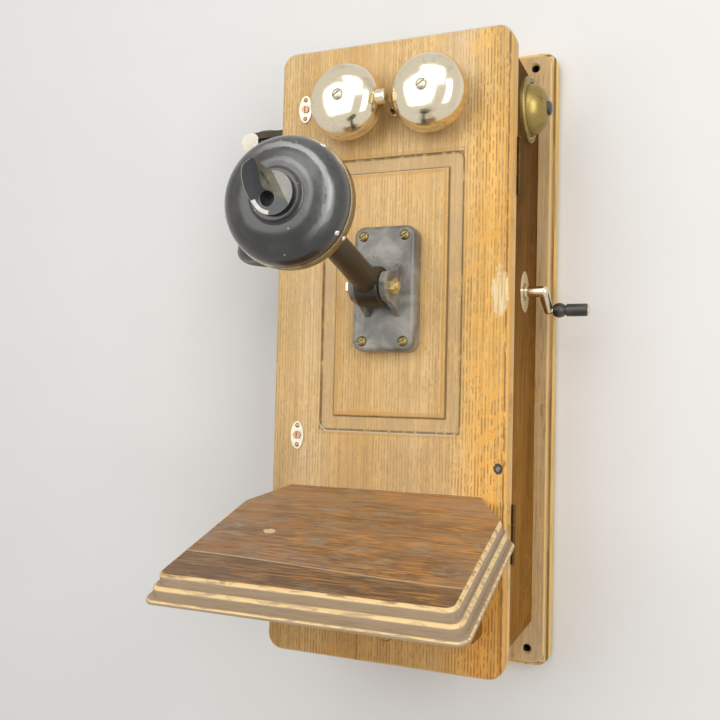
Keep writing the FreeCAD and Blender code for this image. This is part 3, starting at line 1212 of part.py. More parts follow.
def end_plate(x):
    """Generator end plate with bearings for the crank shaft and the armature."""
    low, high = INNER_SHELF_TOP, CRANK_Z + END_PLATE_RISE
    outer = plate(SIDE_Y, (low + high) / 2, 2 * (MAGNET_HALF_WIDTH - END_PLATE_INSET), high - low,
                  END_PLATE_CORNER, 0, END_PLATE_THICKNESS)
    outer.rotate(vec(0, 0, 0), Z, 90)
    outer.translate(vec(x, 0, 0))
    past = 2 * END_PLATE_THICKNESS
    outer = outer.cut(rod(crank_line(x - past), crank_line(x + past), CRANK_SHAFT_RADIUS + RUNNING_CLEARANCE))
    return outer.cut(rod(armature_line(x - past), armature_line(x + past),
                         ARMATURE_SHAFT_RADIUS + RUNNING_CLEARANCE))


# Push button

def side_point(x, z=BUTTON_Z):
    """Point on a line through the right side at the push button's height."""
    return vec(x, SIDE_Y, z)


def button_flange():
    """Brass flange on the right side, under the dome."""
    thick = BUTTON_FLANGE_THICKNESS
    out, hole = BUTTON_FLANGE_RADIUS, BUTTON_WIRE_HOLE
    profile = [(hole, 0), (out, 0), (out, thick - 2.0), ((out - 0.6, thick - 0.6), (out - 2.0, thick)),
               (hole, thick)]
    disc = turned(profile, side_point(SIDE_OUT), X)
    for sz in (-1, 1):
        z = BUTTON_Z + sz * BUTTON_SCREW_OFFSET
        disc = disc.cut(rod(side_point(SIDE_OUT - 1, z), side_point(SIDE_OUT + thick + 1, z),
                            BUTTON_SCREW_RADIUS))
    return disc


def button_dome():
    """Hollow brass dome over the flange, with a hole for the button."""
    out, height, wall = BUTTON_DOME_RADIUS, BUTTON_DOME_HEIGHT, BUTTON_DOME_WALL
    hole = BUTTON_RADIUS + BUTTON_CLEARANCE
    profile = [(out, 0), ((out * 0.86, height * 0.55), (hole + 2.0, height)), (hole, height),
               (hole, height - wall), (hole + 1.0, height - wall),
               ((out * 0.86 - wall, height * 0.55 - wall * 0.5), (out - wall, 0))]
    return turned(profile, side_point(SIDE_OUT + BUTTON_FLANGE_THICKNESS), X)


def push_button():
    """Button with a domed end, guided by the dome's hole."""
    tip = BUTTON_FLANGE_THICKNESS + BUTTON_DOME_HEIGHT + BUTTON_PROUD
    tail = BUTTON_TRAVEL + 1.0
    profile = [(0, tail), (BUTTON_RADIUS, tail), (BUTTON_RADIUS, tip - 1.6),
               ((BUTTON_RADIUS * 0.7, tip - 0.4), (BUTTON_RADIUS * 0.2, tip)), (0, tip)]
    return turned(profile, side_point(SIDE_OUT), X)


def button_screw(side):
    """One of the two screws through the flange."""
    seat = side_point(SIDE_OUT + BUTTON_FLANGE_THICKNESS, BUTTON_Z + side * BUTTON_SCREW_OFFSET)
    return slotted_screw(seat, X, BUTTON_SCREW_HEAD_RADIUS, BUTTON_SCREW_HEAD_HEIGHT, BUTTON_SCREW_RADIUS,
                         BUTTON_SCREW_LENGTH)


# Switch hook

def hook_point(along):
    """Point on the hook's pivot axis, along it from the lever's middle."""
    return vec(HOOK_PIVOT_X, HOOK_Y + along, HOOK_Z)


def hook_lever():
    """Lever through the left side: a tail inside the box and a two-pronged fork outside it."""
    half = HOOK_THICKNESS / 2
    low, high = HOOK_Z - HOOK_BAR / 2, HOOK_Z + HOOK_BAR / 2
    root_x = -SIDE_OUT - HOOK_ROOT
    bar = block(root_x, HOOK_PIVOT_X + HOOK_TAIL, HOOK_Y - half, HOOK_Y + half, low, high)
    bar = bar.fuse(rod(hook_point(-half), hook_point(half), HOOK_BAR))
    prong = HOOK_FORK_GAP / 2 + HOOK_BAR
    bar = bar.fuse(block(root_x - HOOK_BAR, root_x, HOOK_Y - prong, HOOK_Y + prong, low, high))
    for side in (-1, 1):
        y0, y1 = sorted((HOOK_Y + side * HOOK_FORK_GAP / 2, HOOK_Y + side * prong))
        bar = bar.fuse(block(HOOK_TIP_X, root_x, y0, y1, low, high))
        disc_z = HOOK_Z - HOOK_DISC_DROP - HOOK_BAR / 2
        bar = bar.fuse(rod(vec(HOOK_TIP_X, y0, disc_z), vec(HOOK_TIP_X, y1, disc_z), HOOK_DISC_RADIUS))
    bar = bar.removeSplitter()
    return bar.cut(rod(hook_point(-HOOK_THICKNESS), hook_point(HOOK_THICKNESS),
                       HOOK_PIVOT_RADIUS + RUNNING_CLEARANCE))


def hook_plate():
    """Slotted plate on the outside of the left side."""
    half_y, half_z = HOOK_PLATE_WIDTH / 2, HOOK_PLATE_HEIGHT / 2
    face = block(-SIDE_OUT - HOOK_PLATE_THICKNESS, -SIDE_OUT, HOOK_Y - half_y, HOOK_Y + half_y,
                 HOOK_Z - half_z, HOOK_Z + half_z)
    side = HOOK_THICKNESS / 2 + HOOK_SLOT_SIDE_ROOM
    return face.cut(block(-SIDE_OUT - BOX_WALL, -SIDE_IN, HOOK_Y - side, HOOK_Y + side,
                          HOOK_Z - HOOK_BAR / 2 - 1, HOOK_Z + HOOK_BAR / 2 + HOOK_SLOT_RISE))


def hook_bracket():
    """Bracket inside the left side, with two ears for the lever's pivot and a ledge for the springs."""
    inner = HOOK_THICKNESS / 2 + HOOK_EAR_GAP
    outer = inner + HOOK_EAR
    ear_end = HOOK_PIVOT_X + HOOK_BAR
    bracket = None
    for side in (-1, 1):
        y0, y1 = sorted((HOOK_Y + side * inner, HOOK_Y + side * outer))
        ear = block(-SIDE_IN, ear_end, y0, y1, HOOK_Z - 2 * HOOK_BAR, HOOK_Z + 2 * HOOK_BAR)
        bracket = ear if bracket is None else bracket.fuse(ear)
    ledge_top = spring_stack_top() - SPRING_LEAVES * SPRING_LEAF_PITCH
    back = block(-SIDE_IN, -SIDE_IN + HOOK_EAR, HOOK_Y - outer, HOOK_Y + outer,
                 ledge_top - HOOK_EAR, HOOK_Z - HOOK_BAR / 2 - HOOK_SLOT_RISE / 2)
    ledge = block(-SIDE_IN, -SIDE_IN + HOOK_PIVOT_INSET, HOOK_Y - outer, HOOK_Y + outer,
                  ledge_top - HOOK_EAR, ledge_top)
    bracket = bracket.fuse(back).fuse(ledge)
    return bracket.cut(rod(hook_point(-2 * outer), hook_point(2 * outer), HOOK_PIVOT_RADIUS))


def hook_pivot():
    """Pin through the bracket's ears and the lever."""
    outer = HOOK_THICKNESS / 2 + HOOK_EAR_GAP + HOOK_EAR
    return rod(hook_point(-outer), hook_point(outer), HOOK_PIVOT_RADIUS)


def spring_stack_top():
    """Height of the upper contact spring."""
    return HOOK_Z - HOOK_BAR / 2 - SPRING_CLEARANCE


def hook_springs():
    """Contact springs under the lever's tail, clamped in an insulating block on the bracket's ledge."""
    start = -SIDE_IN + HOOK_EAR
    half = SPRING_LEAF_WIDTH / 2
    top = spring_stack_top()
    low = top - SPRING_LEAVES * SPRING_LEAF_PITCH
    stack = block(start, start + HOOK_PIVOT_INSET - HOOK_EAR, HOOK_Y - half - 1, HOOK_Y + half + 1,
                  low, top)
    for i in range(SPRING_LEAVES):
        z = top - 1 - i * SPRING_LEAF_PITCH
        stack = stack.fuse(block(start, start + SPRING_LEAF_LENGTH, HOOK_Y - half, HOOK_Y + half,
                                 z - SPRING_LEAF_THICKNESS, z))
    return stack


# Receiver

def receiver_levels():
    """Heights of the flange's underside, the neck's foot and the ear cap's top."""
    seat = RECEIVER_SEAT_Z
    neck = seat - RECEIVER_NECK_LENGTH
    return seat, neck, neck - RECEIVER_BODY_LENGTH


def receiver_shell():
    """Hollow black shell: a flanged tail, a slim neck and a bell that widens to the ear cap."""
    seat, neck, cap = receiver_levels()
    wall = RECEIVER_WALL
    top = seat + RECEIVER_FLANGE
    nr, br = RECEIVER_NECK_RADIUS, RECEIVER_BODY_RADIUS
    mid_z = (neck + cap) / 2
    profile = [(br, cap), ((nr + (br - nr) * 0.36, mid_z), (nr, neck)), (nr, seat - 1.5), (nr + 1.5, seat),
               (RECEIVER_FLANGE_RADIUS - 1.0, seat), ((RECEIVER_FLANGE_RADIUS, (seat + top) / 2),
                                                      (RECEIVER_FLANGE_RADIUS - 1.0, top)),
               (nr - wall, top), (nr - wall, neck),
               ((nr + (br - nr) * 0.36 - wall, mid_z), (br - wall, cap))]
    return turned(profile, vec(RECEIVER_X, HOOK_Y, 0), Z)


def receiver_ear_cap():
    """Round-bellied ear cap that closes the wide end, dished below, with a hole in its middle."""
    cap = receiver_levels()[2]
    out, low = EAR_CAP_RADIUS, cap - EAR_CAP_HEIGHT
    belly = (out - EAR_CAP_ROUND * 0.28, low + EAR_CAP_WIDEST * 0.36)
    profile = [(EAR_CAP_HOLE, low + EAR_CAP_DISH), (out - EAR_CAP_ROUND, low),
               (belly, (out, low + EAR_CAP_WIDEST)), (out - 0.6, cap - EAR_CAP_DISH),
               (RECEIVER_BODY_RADIUS + 0.8, cap), (EAR_CAP_HOLE, cap)]
    return turned(profile, vec(RECEIVER_X, HOOK_Y, 0), Z)


def receiver_tail_cap():
    """Low domed cap whose plug fits the upper end of the shell, with the inlet for the cord."""
    low = RECEIVER_SEAT_Z + RECEIVER_FLANGE
    rise, out, inlet = RECEIVER_TAIL_HEIGHT, RECEIVER_TAIL_RADIUS, RECEIVER_INLET_RADIUS
    plug = RECEIVER_NECK_RADIUS - RECEIVER_WALL - RECEIVER_PLUG_GAP
    foot = low - RECEIVER_PLUG_LENGTH
    profile = [(inlet, foot), (plug, foot), (plug, low), (out, low), (out, low + rise * 0.45),
               ((out * 0.78, low + rise * 0.85), (inlet + 2.0, low + rise)), (inlet, low + rise)]
    return turned(profile, vec(RECEIVER_X, HOOK_Y, 0), Z)


# Battery cells and induction coil

def dry_cell(side):
    """One dry cell with its middle terminal."""
    x = side * CELL_SPACING / 2
    y = (BOARD_FRONT + BOX_FRONT) / 2
    floor = -BOX_HEIGHT / 2 + BOX_WALL + CELL_FLOOR_GAP
    foot, top = vec(x, y, floor), vec(x, y, floor + CELL_HEIGHT)
    return rod(foot, top, CELL_RADIUS).fuse(rod(top, top + Z * CELL_POST_HEIGHT, CELL_POST_RADIUS))


def induction_coil():
    """Induction coil between two cheeks on the backboard, inside the box."""
    y = BOARD_FRONT - COIL_CHEEK / 2
    half = COIL_LENGTH / 2
    coil = rod(vec(COIL_X - half, y, COIL_Z), vec(COIL_X + half, y, COIL_Z), COIL_RADIUS)
    for side in (-1, 1):
        x0, x1 = sorted((COIL_X + side * half, COIL_X + side * (half - COIL_CHEEK_THICKNESS)))
        coil = coil.fuse(block(x0, x1, y - COIL_CHEEK / 2, y + COIL_CHEEK / 2,
                               COIL_Z - COIL_CHEEK / 2, COIL_Z + COIL_CHEEK / 2))
    return coil


def group(shapes):
    """Several separate solids in one node."""
    return Part.makeCompound(list(shapes))


def build():
    """Every node of the telephone, by name."""
    shelf_board, shelf_strip = split_shelf()
    sides = (-1, 1)
    gongs_x = (GONG_LEFT_X, GONG_RIGHT_X)
    locks_z = (LOCK_UPPER_Z, LOCK_LOWER_Z)
    hinges_z = (-HINGE_Z, HINGE_Z)
    magnet_step = MAGNET_WIDTH + MAGNET_GAP
    return {
        "backboard": backboard(),
        "left_side": left_side(),
        "right_side": right_side(),
        "box_top": end_board(1),
        "box_bottom": end_board(-1),
        "inner_shelf": inner_shelf(),
        "hinge_box_leaves": group(hinge_box_leaf(z) for z in hinges_z),
        "hinge_door_leaves": group(hinge_door_leaf(z) for z in hinges_z),
        "hinge_pins": group(hinge_pin(z) for z in hinges_z),
        "door_panel": door_panel(),
        "lock_plates": group(lock_plate(z) for z in locks_z),
        "lock_plate_screws": group(
            slotted_screw(seat, -Y, LOCK_SCREW_HEAD_RADIUS, LOCK_SCREW_HEAD_HEIGHT, LOCK_SCREW_SHANK_RADIUS,
                          LOCK_SCREW_LENGTH) for seat in lock_screw_places()),
        "upper_lock_stud": lock_stud(LOCK_UPPER_Z),
        "lower_lock_stud": lock_stud(LOCK_LOWER_Z),
        "gong_left": gong(GONG_LEFT_X),
        "gong_right": gong(GONG_RIGHT_X),
        "gong_posts": group(gong_post(x) for x in gongs_x),
        "gong_screws": group(gong_screw(x) for x in gongs_x),
        "clapper": clapper(),
        "clapper_ferrule": clapper_ferrule(),
        "ringer_coils": group(ringer_coil(side) for side in sides),
        "ringer_frame": ringer_frame(),
        "transmitter_bracket": transmitter_bracket(),
        "bracket_screws": group(
            slotted_screw(seat, -Y, BRACKET_SCREW_HEAD_RADIUS, BRACKET_SCREW_HEAD_HEIGHT,
                          BRACKET_SCREW_RADIUS, BRACKET_SCREW_LENGTH) for seat in bracket_screw_places()),
        "pivot_bolt": pivot_bolt(),
        "pivot_nut": pivot_nut(),
        "transmitter_arm": transmitter_arm(),
        "transmitter_cup": transmitter_cup(),
        "transmitter_bezel": transmitter_bezel(),
        "transmitter_face": transmitter_face(),
        "mouthpiece_stub": mouthpiece_stub(),
        "transmitter_diaphragm": transmitter_diaphragm(),
        "carbon_button": carbon_button(),
        "writing_shelf": shelf_board,
        "shelf_front_strip": shelf_strip,
        "shelf_brackets": group(shelf_arm(side) for side in sides),
        "door_stud": door_stud(),
        "crank": crank(),
        "crank_grip": crank_grip(),
        "crank_plate": crank_plate(),
        "crank_bushing": crank_bushing(),
        "drive_gear": drive_gear(),
        "generator_armature": generator_armature(),
        "generator_magnets": group(
            generator_magnet(MAGNETS_LEFT + i * magnet_step) for i in range(MAGNET_COUNT)),
        "generator_pole_pieces": group(pole_piece(side) for side in sides),
        "generator_end_plates": group(end_plate(x) for x in (PLATE_LEFT, MAGNETS_RIGHT)),
        "button_flange": button_flange(),
        "button_dome": button_dome(),
        "button_screws": group(button_screw(side) for side in sides),
        "push_button": push_button(),
        "hook_lever": hook_lever(),
        "hook_plate": hook_plate(),
        "hook_bracket": hook_bracket(),
        "hook_pivot": hook_pivot(),
        "hook_springs": hook_springs(),
        "receiver_shell": receiver_shell(),
        "receiver_ear_cap": receiver_ear_cap(),
        "receiver_tail_cap": receiver_tail_cap(),
        "dry_cells": group(dry_cell(side) for side in sides),
        "induction_coil": induction_coil(),
    }


os.makedirs("parts", exist_ok=True)
for name, shape in build().items():
    shape.exportStep("parts/" + name + ".step")
    state = "valid" if shape.isValid() else "NOT VALID"
    print(name, len(shape.Solids), "solids", round(shape.Volume, 1), "mm3", state)
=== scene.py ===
import bmesh
import bpy
import math
from mathutils import Matrix, Vector


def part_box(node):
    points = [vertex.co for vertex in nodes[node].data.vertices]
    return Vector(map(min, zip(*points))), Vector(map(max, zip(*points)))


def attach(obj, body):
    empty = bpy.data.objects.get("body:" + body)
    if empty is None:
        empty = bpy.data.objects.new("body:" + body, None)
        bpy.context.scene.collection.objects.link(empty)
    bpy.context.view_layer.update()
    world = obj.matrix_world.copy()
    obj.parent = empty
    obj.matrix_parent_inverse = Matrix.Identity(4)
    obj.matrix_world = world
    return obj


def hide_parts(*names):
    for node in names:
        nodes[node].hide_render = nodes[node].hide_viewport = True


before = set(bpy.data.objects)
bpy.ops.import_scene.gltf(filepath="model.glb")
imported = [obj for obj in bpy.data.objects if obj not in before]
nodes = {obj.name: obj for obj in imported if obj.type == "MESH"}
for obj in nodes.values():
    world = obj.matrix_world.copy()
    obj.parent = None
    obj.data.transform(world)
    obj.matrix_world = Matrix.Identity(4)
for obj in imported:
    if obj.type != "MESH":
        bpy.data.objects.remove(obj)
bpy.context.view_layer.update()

# Places on the telephone, in metres: x to the right, y into the wall, z up
DOOR_LOW, DOOR_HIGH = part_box("door_panel")
DOOR_HALF = ((DOOR_HIGH.x - DOOR_LOW.x) / 2, (DOOR_HIGH.z - DOOR_LOW.z) / 2)
BOARD_LOW, BOARD_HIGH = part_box("backboard")
BOARD_HALF = ((BOARD_HIGH.x - BOARD_LOW.x) / 2, (BOARD_HIGH.z - BOARD_LOW.z) / 2)
BOARD_LIP = 0.0041
WALL_HOLE = (0.100, 0.265)
WALL_HOLE_RADIUS = 0.0034
DOOR_ROUND = 0.003
PANEL_CENTRE = (0.0027, 0.045)
PANEL_HALF = (0.0625, 0.11625)
PANEL_BAND = 0.013
SCUFF = (0.0965, 0.045)
SCUFF_HALF = (0.0065, 0.019)
KNOT = (0.0972, -0.0964)
KNOT_HALF = (0.0036, 0.0042)
KNOT_HEART_HALF = (0.0018, 0.0022)
DOOR_JOINT_X = -0.0203

# Writing shelf: where its top leaves the door, and the directions up from it and down its slope
SHELF_SLOPE = math.radians(17.8)
SHELF_START = (-0.0003, -0.1294, -0.1196)
SHELF_UP = (0.0, -math.sin(SHELF_SLOPE), math.cos(SHELF_SLOPE))
SHELF_DOWN = (0.0, -math.cos(SHELF_SLOPE), -math.sin(SHELF_SLOPE))
SHELF_LENGTH = 0.167
SHELF_HALF_WIDTH = 0.1105
SHELF_STRIP_LEFT = 0.038
SHELF_STRIP_RIGHT = 0.027
SHELF_SPECK = (-0.060, 0.088)
SHELF_SPECK_HALF = (0.0052, 0.0034)

# Transmitter head: its centre, the way it faces, and its own right and up
HEAD_TURN = math.radians(5.0)
HEAD_CENTRE = Vector((0.005576, -0.3207, 0.0795))
HEAD_AXIS = Vector((math.sin(HEAD_TURN), -math.cos(HEAD_TURN), 0.0))
HEAD_RIGHT = Vector((math.cos(HEAD_TURN), math.sin(HEAD_TURN), 0.0))
HEAD_UP = Vector((0.0, 0.0, 1.0))

# Broken mouthpiece, measured across the head and along its axis: the seat it is broken down to, its hole,
# the ramp that rises from the hole to the tip, and the break that cuts the ramp off on the right
MOUTH_RADIUS = 0.0134
MOUTH_FOOT = 0.0185
MOUTH_SEAT = 0.028
MOUTH_HOLE = (-0.0026, -0.0037)
MOUTH_HOLE_RADIUS = 0.0048
MOUTH_HOLE_FLOOR = 0.0195
MOUTH_RISE = 0.014
MOUTH_FLARE = 0.0058
RAMP_TURN = math.radians(120.0)
RAMP_REACH = 0.0207
RAMP_BEND = 1.6
BREAK_TURN = math.radians(28.0)
BREAK_OFFSET = 0.0063
BREAK_SLOPE = 0.09
BREAK_STEEPEN = 220.0
BREAK_SPREAD = 0.5
BREAK_END = 0.0105
BREAK_LOW = 0.002
# A pale crescent on the rim's lower left is a painted highlight: degrees round from the head's right, and
# its width in from the rim
RIM_HIGHLIGHT_TURNS = (200.0, 262.0)
RIM_HIGHLIGHT_WIDTH = 0.0024
MOUTH_STEPS = 180
MOUTH_RINGS = 60
MOUTH_SEARCH_STEP = 0.0001
MOUTH_SKIRT_DROP = 0.0006
MOUTH_SHARP = math.radians(32.0)

# Small screws in the transmitter's rim and cup: degrees round from its right, distance out and height
RIM_SCREW_TURNS = (54.0, 191.0, 328.0)
RIM_SCREW_OUT = 0.0405
RIM_SCREW_RISE = 0.0068
RIM_SCREW_LEAN = (0.86, 0.5)
RIM_SCREW_RADIUS = 0.0019
RIM_SCREW_HEIGHT = 0.0018
CUP_SCREW_TURN = 327.0
CUP_SCREW_OUT = 0.0421
CUP_SCREW_RISE = -0.0042
CUP_SCREW_RADIUS = 0.0017
CUP_SCREW_HEIGHT = 0.0011

# Switch hook: the middle of the disc on its prongs
HOOK_DISC = Vector((-0.1553, -0.0935, 0.1970))
HOOK_DISC_RADIUS = 0.009


def rgb(red, green, blue):
    """A colour from its 0 to 255 screen values."""
    def linear(value):
        share = value / 255
        return share / 12.92 if share <= 0.04045 else ((share + 0.055) / 1.055) ** 2.4
    return (linear(red), linear(green), linear(blue))


class Shader:
    """A procedural material whose patterns are set out in the telephone's own frame."""

    def __init__(self, name):
        self.material = bpy.data.materials.new(name)
        self.material.use_nodes = True
        self.tree = self.material.node_tree
        self.tree.nodes.clear()
        self.output = self.tree.nodes.new("ShaderNodeOutputMaterial")
        self.bsdf = self.tree.nodes.new("ShaderNodeBsdfPrincipled")
        self.tree.links.new(self.bsdf.outputs["BSDF"], self.output.inputs["Surface"])
        coordinates = self.tree.nodes.new("ShaderNodeTexCoord")
        self.place = coordinates.outputs["Object"]
        self.normal = coordinates.outputs["Normal"]
        self.axes = self.add("ShaderNodeSeparateXYZ", {"Vector": self.place}).outputs

    def put(self, socket, value):
        """Link a socket to another node's output, or set its value."""
        if isinstance(value, bpy.types.NodeSocket):
            self.tree.links.new(value, socket)
        else:
            socket.default_value = value

    def add(self, kind, inputs=(), **settings):
        node = self.tree.nodes.new(kind)
        for key, value in settings.items():
            setattr(node, key, value)
        for key, value in dict(inputs).items():
            self.put(node.inputs[key], value)
        return node

    def spot(self, scale, shift=(0, 0, 0), turn=(0, 0, 0)):
        """Coordinates stretched by scale, so that 1 is one cell of a pattern."""
        inputs = {"Vector": self.place, "Scale": scale, "Location": shift, "Rotation": turn}
        return self.add("ShaderNodeMapping", inputs).outputs["Vector"]

    def slanted(self, cell, shift, turn):
        """Coordinates turned first and then measured in cells, so that a pattern lies at a slant."""
        inputs = {"Vector": self.place, "Scale": cell, "Location": shift, "Rotation": turn}
        return self.add("ShaderNodeMapping", inputs, vector_type="TEXTURE").outputs["Vector"]

    def noise(self, where, detail=3.0, rough=0.5, warp=0.0):
        inputs = {"Vector": where, "Scale": 1.0, "Detail": detail, "Roughness": rough, "Distortion": warp}
        return self.add("ShaderNodeTexNoise", inputs).outputs["Fac"]

    def cells(self, where):
        return self.add("ShaderNodeTexVoronoi", {"Vector": where, "Scale": 1.0}).outputs["Distance"]

    def ramp(self, factor, stops):
        node = self.add("ShaderNodeValToRGB", {"Fac": factor})
        ramp = node.color_ramp
        while len(ramp.elements) < len(stops):
            ramp.elements.new(0.5)
        for element, (at, colour) in zip(ramp.elements, stops):
            element.position = at
            element.color = (*colour, 1.0)
        return node.outputs["Color"]

    def band(self, factor, low, high, out_low=0.0, out_high=1.0):
        inputs = {"Value": factor, "From Min": low, "From Max": high, "To Min": out_low, "To Max": out_high}
        return self.add("ShaderNodeMapRange", inputs, interpolation_type="SMOOTHSTEP").outputs["Result"]

    def calc(self, operation, a, b=0.0):
        node = self.add("ShaderNodeMath", operation=operation)
        self.put(node.inputs[0], a)
        self.put(node.inputs[1], b)
        return node.outputs["Value"]

    def dot(self, a, b):
        inputs = {0: a, 1: b}
        return self.add("ShaderNodeVectorMath", inputs, operation="DOT_PRODUCT").outputs["Value"]

    def distance(self, across, up):
        """The distance from a point, from two measures of place that start there."""
        squares = self.calc("ADD", self.calc("POWER", across, 2.0), self.calc("POWER", up, 2.0))
        return self.calc("SQRT", squares)

    def both(self, *masks):
        """The product of several masks."""
        result = masks[0]
        for mask in masks[1:]:
            result = self.calc("MULTIPLY", result, mask)
        return result

    def mix(self, factor, a, b, blend="MIX"):
        node = self.add("ShaderNodeMix", data_type="RGBA", blend_type=blend)
        self.put(node.inputs[0], factor)
        for socket, value in ((node.inputs[6], a), (node.inputs[7], b)):
            self.put(socket, (*value, 1.0) if isinstance(value, tuple) else value)
        return node.outputs[2]

    def line(self, factor, at, half_width, strength=1.0):
        """A soft line where factor passes a value."""
        away = self.calc("ABSOLUTE", self.calc("SUBTRACT", factor, at))
        return self.band(away, half_width, half_width * 0.3, 0.0, strength)

    def along(self, direction, start):
        """The distance from a start, measured along a direction."""
        at_start = Vector(start).dot(Vector(direction))
        return self.calc("SUBTRACT", self.dot(self.place, tuple(direction)), at_start)

    def facing(self, direction):
        """How squarely the surface faces a direction: 1 is straight at it."""
        return self.dot(self.normal, tuple(direction))

    def inside(self, centre, half):
        """How far a place lies inside an upright rectangle seen from the front; below 0 outside it."""
        gaps = []
        for place, middle, reach in zip((self.axes[0], self.axes[2]), centre, half):
            away = self.calc("ABSOLUTE", self.calc("SUBTRACT", place, middle))
            gaps.append(self.calc("SUBTRACT", reach, away))
        return self.calc("MINIMUM", *gaps)

    def blot(self, across, up, centre, half, ragged, soft=0.25):
        """A spot with ragged edges, on two measures of place."""
        wide = self.calc("DIVIDE", self.calc("SUBTRACT", across, centre[0]), half[0])
        high = self.calc("DIVIDE", self.calc("SUBTRACT", up, centre[1]), half[1])
        away = self.calc("ADD", self.calc("POWER", wide, 2.0), self.calc("POWER", high, 2.0))
        away = self.calc("ADD", away, self.calc("MULTIPLY", self.calc("SUBTRACT", ragged, 0.5), 2.4))
        return self.band(away, 1.0 + soft, 1.0 - soft)

    def edge(self, radius):
        """Near 1 along the surface's edges, where wear shows, and 0 away from them."""
        rounded = self.add("ShaderNodeBevel", {"Radius": radius}, samples=6).outputs["Normal"]
        flat = self.add("ShaderNodeNewGeometry").outputs["Normal"]
        return self.band(self.dot(rounded, flat), 0.99, 0.86)

    def bump(self, height, strength, distance):
        inputs = {"Height": height, "Strength": strength, "Distance": distance}
        return self.add("ShaderNodeBump", inputs).outputs["Normal"]

    def finish(self, **inputs):
        for key, value in inputs.items():
            socket = self.bsdf.inputs[key.replace("_", " ")]
            self.put(socket, (*value, 1.0) if isinstance(value, tuple) and len(value) == 3 else value)
        return self.material


# Oak: the wave pattern's cells per row of pores, and the slant of the ray flecks
WAVE_CELLS = 0.314
FLECK_SLANT = -0.4


def oak(name, tones, pore_tone, fleck_tone, along="z", rows=None, pores=0.7, fleck=None, fleck_most=0.5,
        rough=(0.45, 0.65), coat=0.12, gloss=0.5, shift=(0, 0, 0), fade=None, marks=None):
    """Oak: broad tone bands, fine streaks, dashes of dark pores and ray flecks lying across the grain."""
    s = Shader(name)

    def stretch(across, length, move=(0, 0, 0)):
        scale = (across, across, length) if along == "z" else (length, across, across)
        return s.spot(scale, tuple(a + b for a, b in zip(shift, move)))

    broad = s.noise(stretch(18, 1.6), 4, 0.55, 0.4)
    colour = s.ramp(broad, list(zip((0.32, 0.50, 0.70), tones)))
    streak = s.noise(stretch(430, 7), 3, 0.6)
    colour = s.mix(s.band(streak, 0.34, 0.62, 0.34, 0.0), colour, pore_tone)

    # Ray flecks: smooth patches with firm edges, at a slant across the grain
    fleck_field = s.noise(s.slanted((0.040, 0.040, 0.012), shift, (0, FLECK_SLANT, 0)), 1.0, 0.5, 0.7)
    fleck_where = s.noise(stretch(14, 9, (7, 2, 5)), 2, 0.5)
    fleck_mask = s.both(s.band(fleck_field, 0.54, 0.61), s.band(fleck_where, 0.40, 0.54, 0.0, fleck_most))
    if fleck:
        fleck_mask = s.both(fleck_mask, fleck(s))
    colour = s.mix(fleck_mask, colour, fleck_tone)

    # Pores: broken lines along the grain, in even rows where the board is cut square to its rings
    if rows:
        lines = {"Vector": s.spot((WAVE_CELLS / rows, WAVE_CELLS / rows, 42), shift), "Scale": 1.0,
                 "Distortion": 2.2, "Detail": 2.0, "Detail Scale": 0.4}
        wave = s.add("ShaderNodeTexWave", lines, bands_direction="X").outputs["Fac"]
        dashes = s.noise(stretch(360, 150, (1, 4, 0)), 1.5, 0.5)
        pore_mask = s.both(s.band(wave, 0.46, 0.90), s.band(dashes, 0.38, 0.56))
    else:
        pore_mask = s.band(s.noise(stretch(800, 50, (1, 4, 0)), 1.5, 0.5), 0.52, 0.66)
    pore_where = s.noise(stretch(26, 11, (2, 9, 3)), 2, 0.5)
    pore_mask = s.both(pore_mask, s.band(pore_where, 0.32, 0.60, 0.4 * pores, pores))
    pore_mask = s.both(pore_mask, s.band(fleck_mask, 0.1, 0.5, 1.0, 0.12))
    if fade:
        pore_mask = s.both(pore_mask, fade(s))
    colour = s.mix(pore_mask, colour, pore_tone)

    dirt = s.noise(s.spot((24, 24, 24), shift), 5, 0.6, 0.3)
    colour = s.mix(s.band(dirt, 0.52, 0.74, 0.0, 0.30), colour, tones[0])
    if marks:
        colour = marks(s, colour)
    height = s.calc("SUBTRACT", s.calc("MULTIPLY", streak, 0.35), pore_mask)
    return s.finish(Base_Color=colour, Roughness=s.band(dirt, 0.3, 0.7, *rough), Coat_Weight=coat,
                    Coat_Roughness=0.4, Specular_IOR_Level=gloss, Normal=s.bump(height, 0.4, 0.0005))


def door_flecks(s):
    """More ray fleck towards the door's right edge, some at its foot, and little on the left."""
    right = s.band(s.axes[0], 0.0, 0.075, 0.25, 1.0)
    foot = s.band(s.axes[2], -0.07, -0.12, 0.0, 0.55)
    return s.calc("MAXIMUM", right, foot)


def door_pores(s):
    """Pores are boldest on the right stile and the foot, and soft on the left and in the panel."""
    right = s.band(s.axes[0], 0.045, 0.075, 0.62, 1.0)
    foot = s.band(s.axes[2], -0.14, -0.19, 0.0, 0.9)
    return s.calc("MAXIMUM", right, foot)


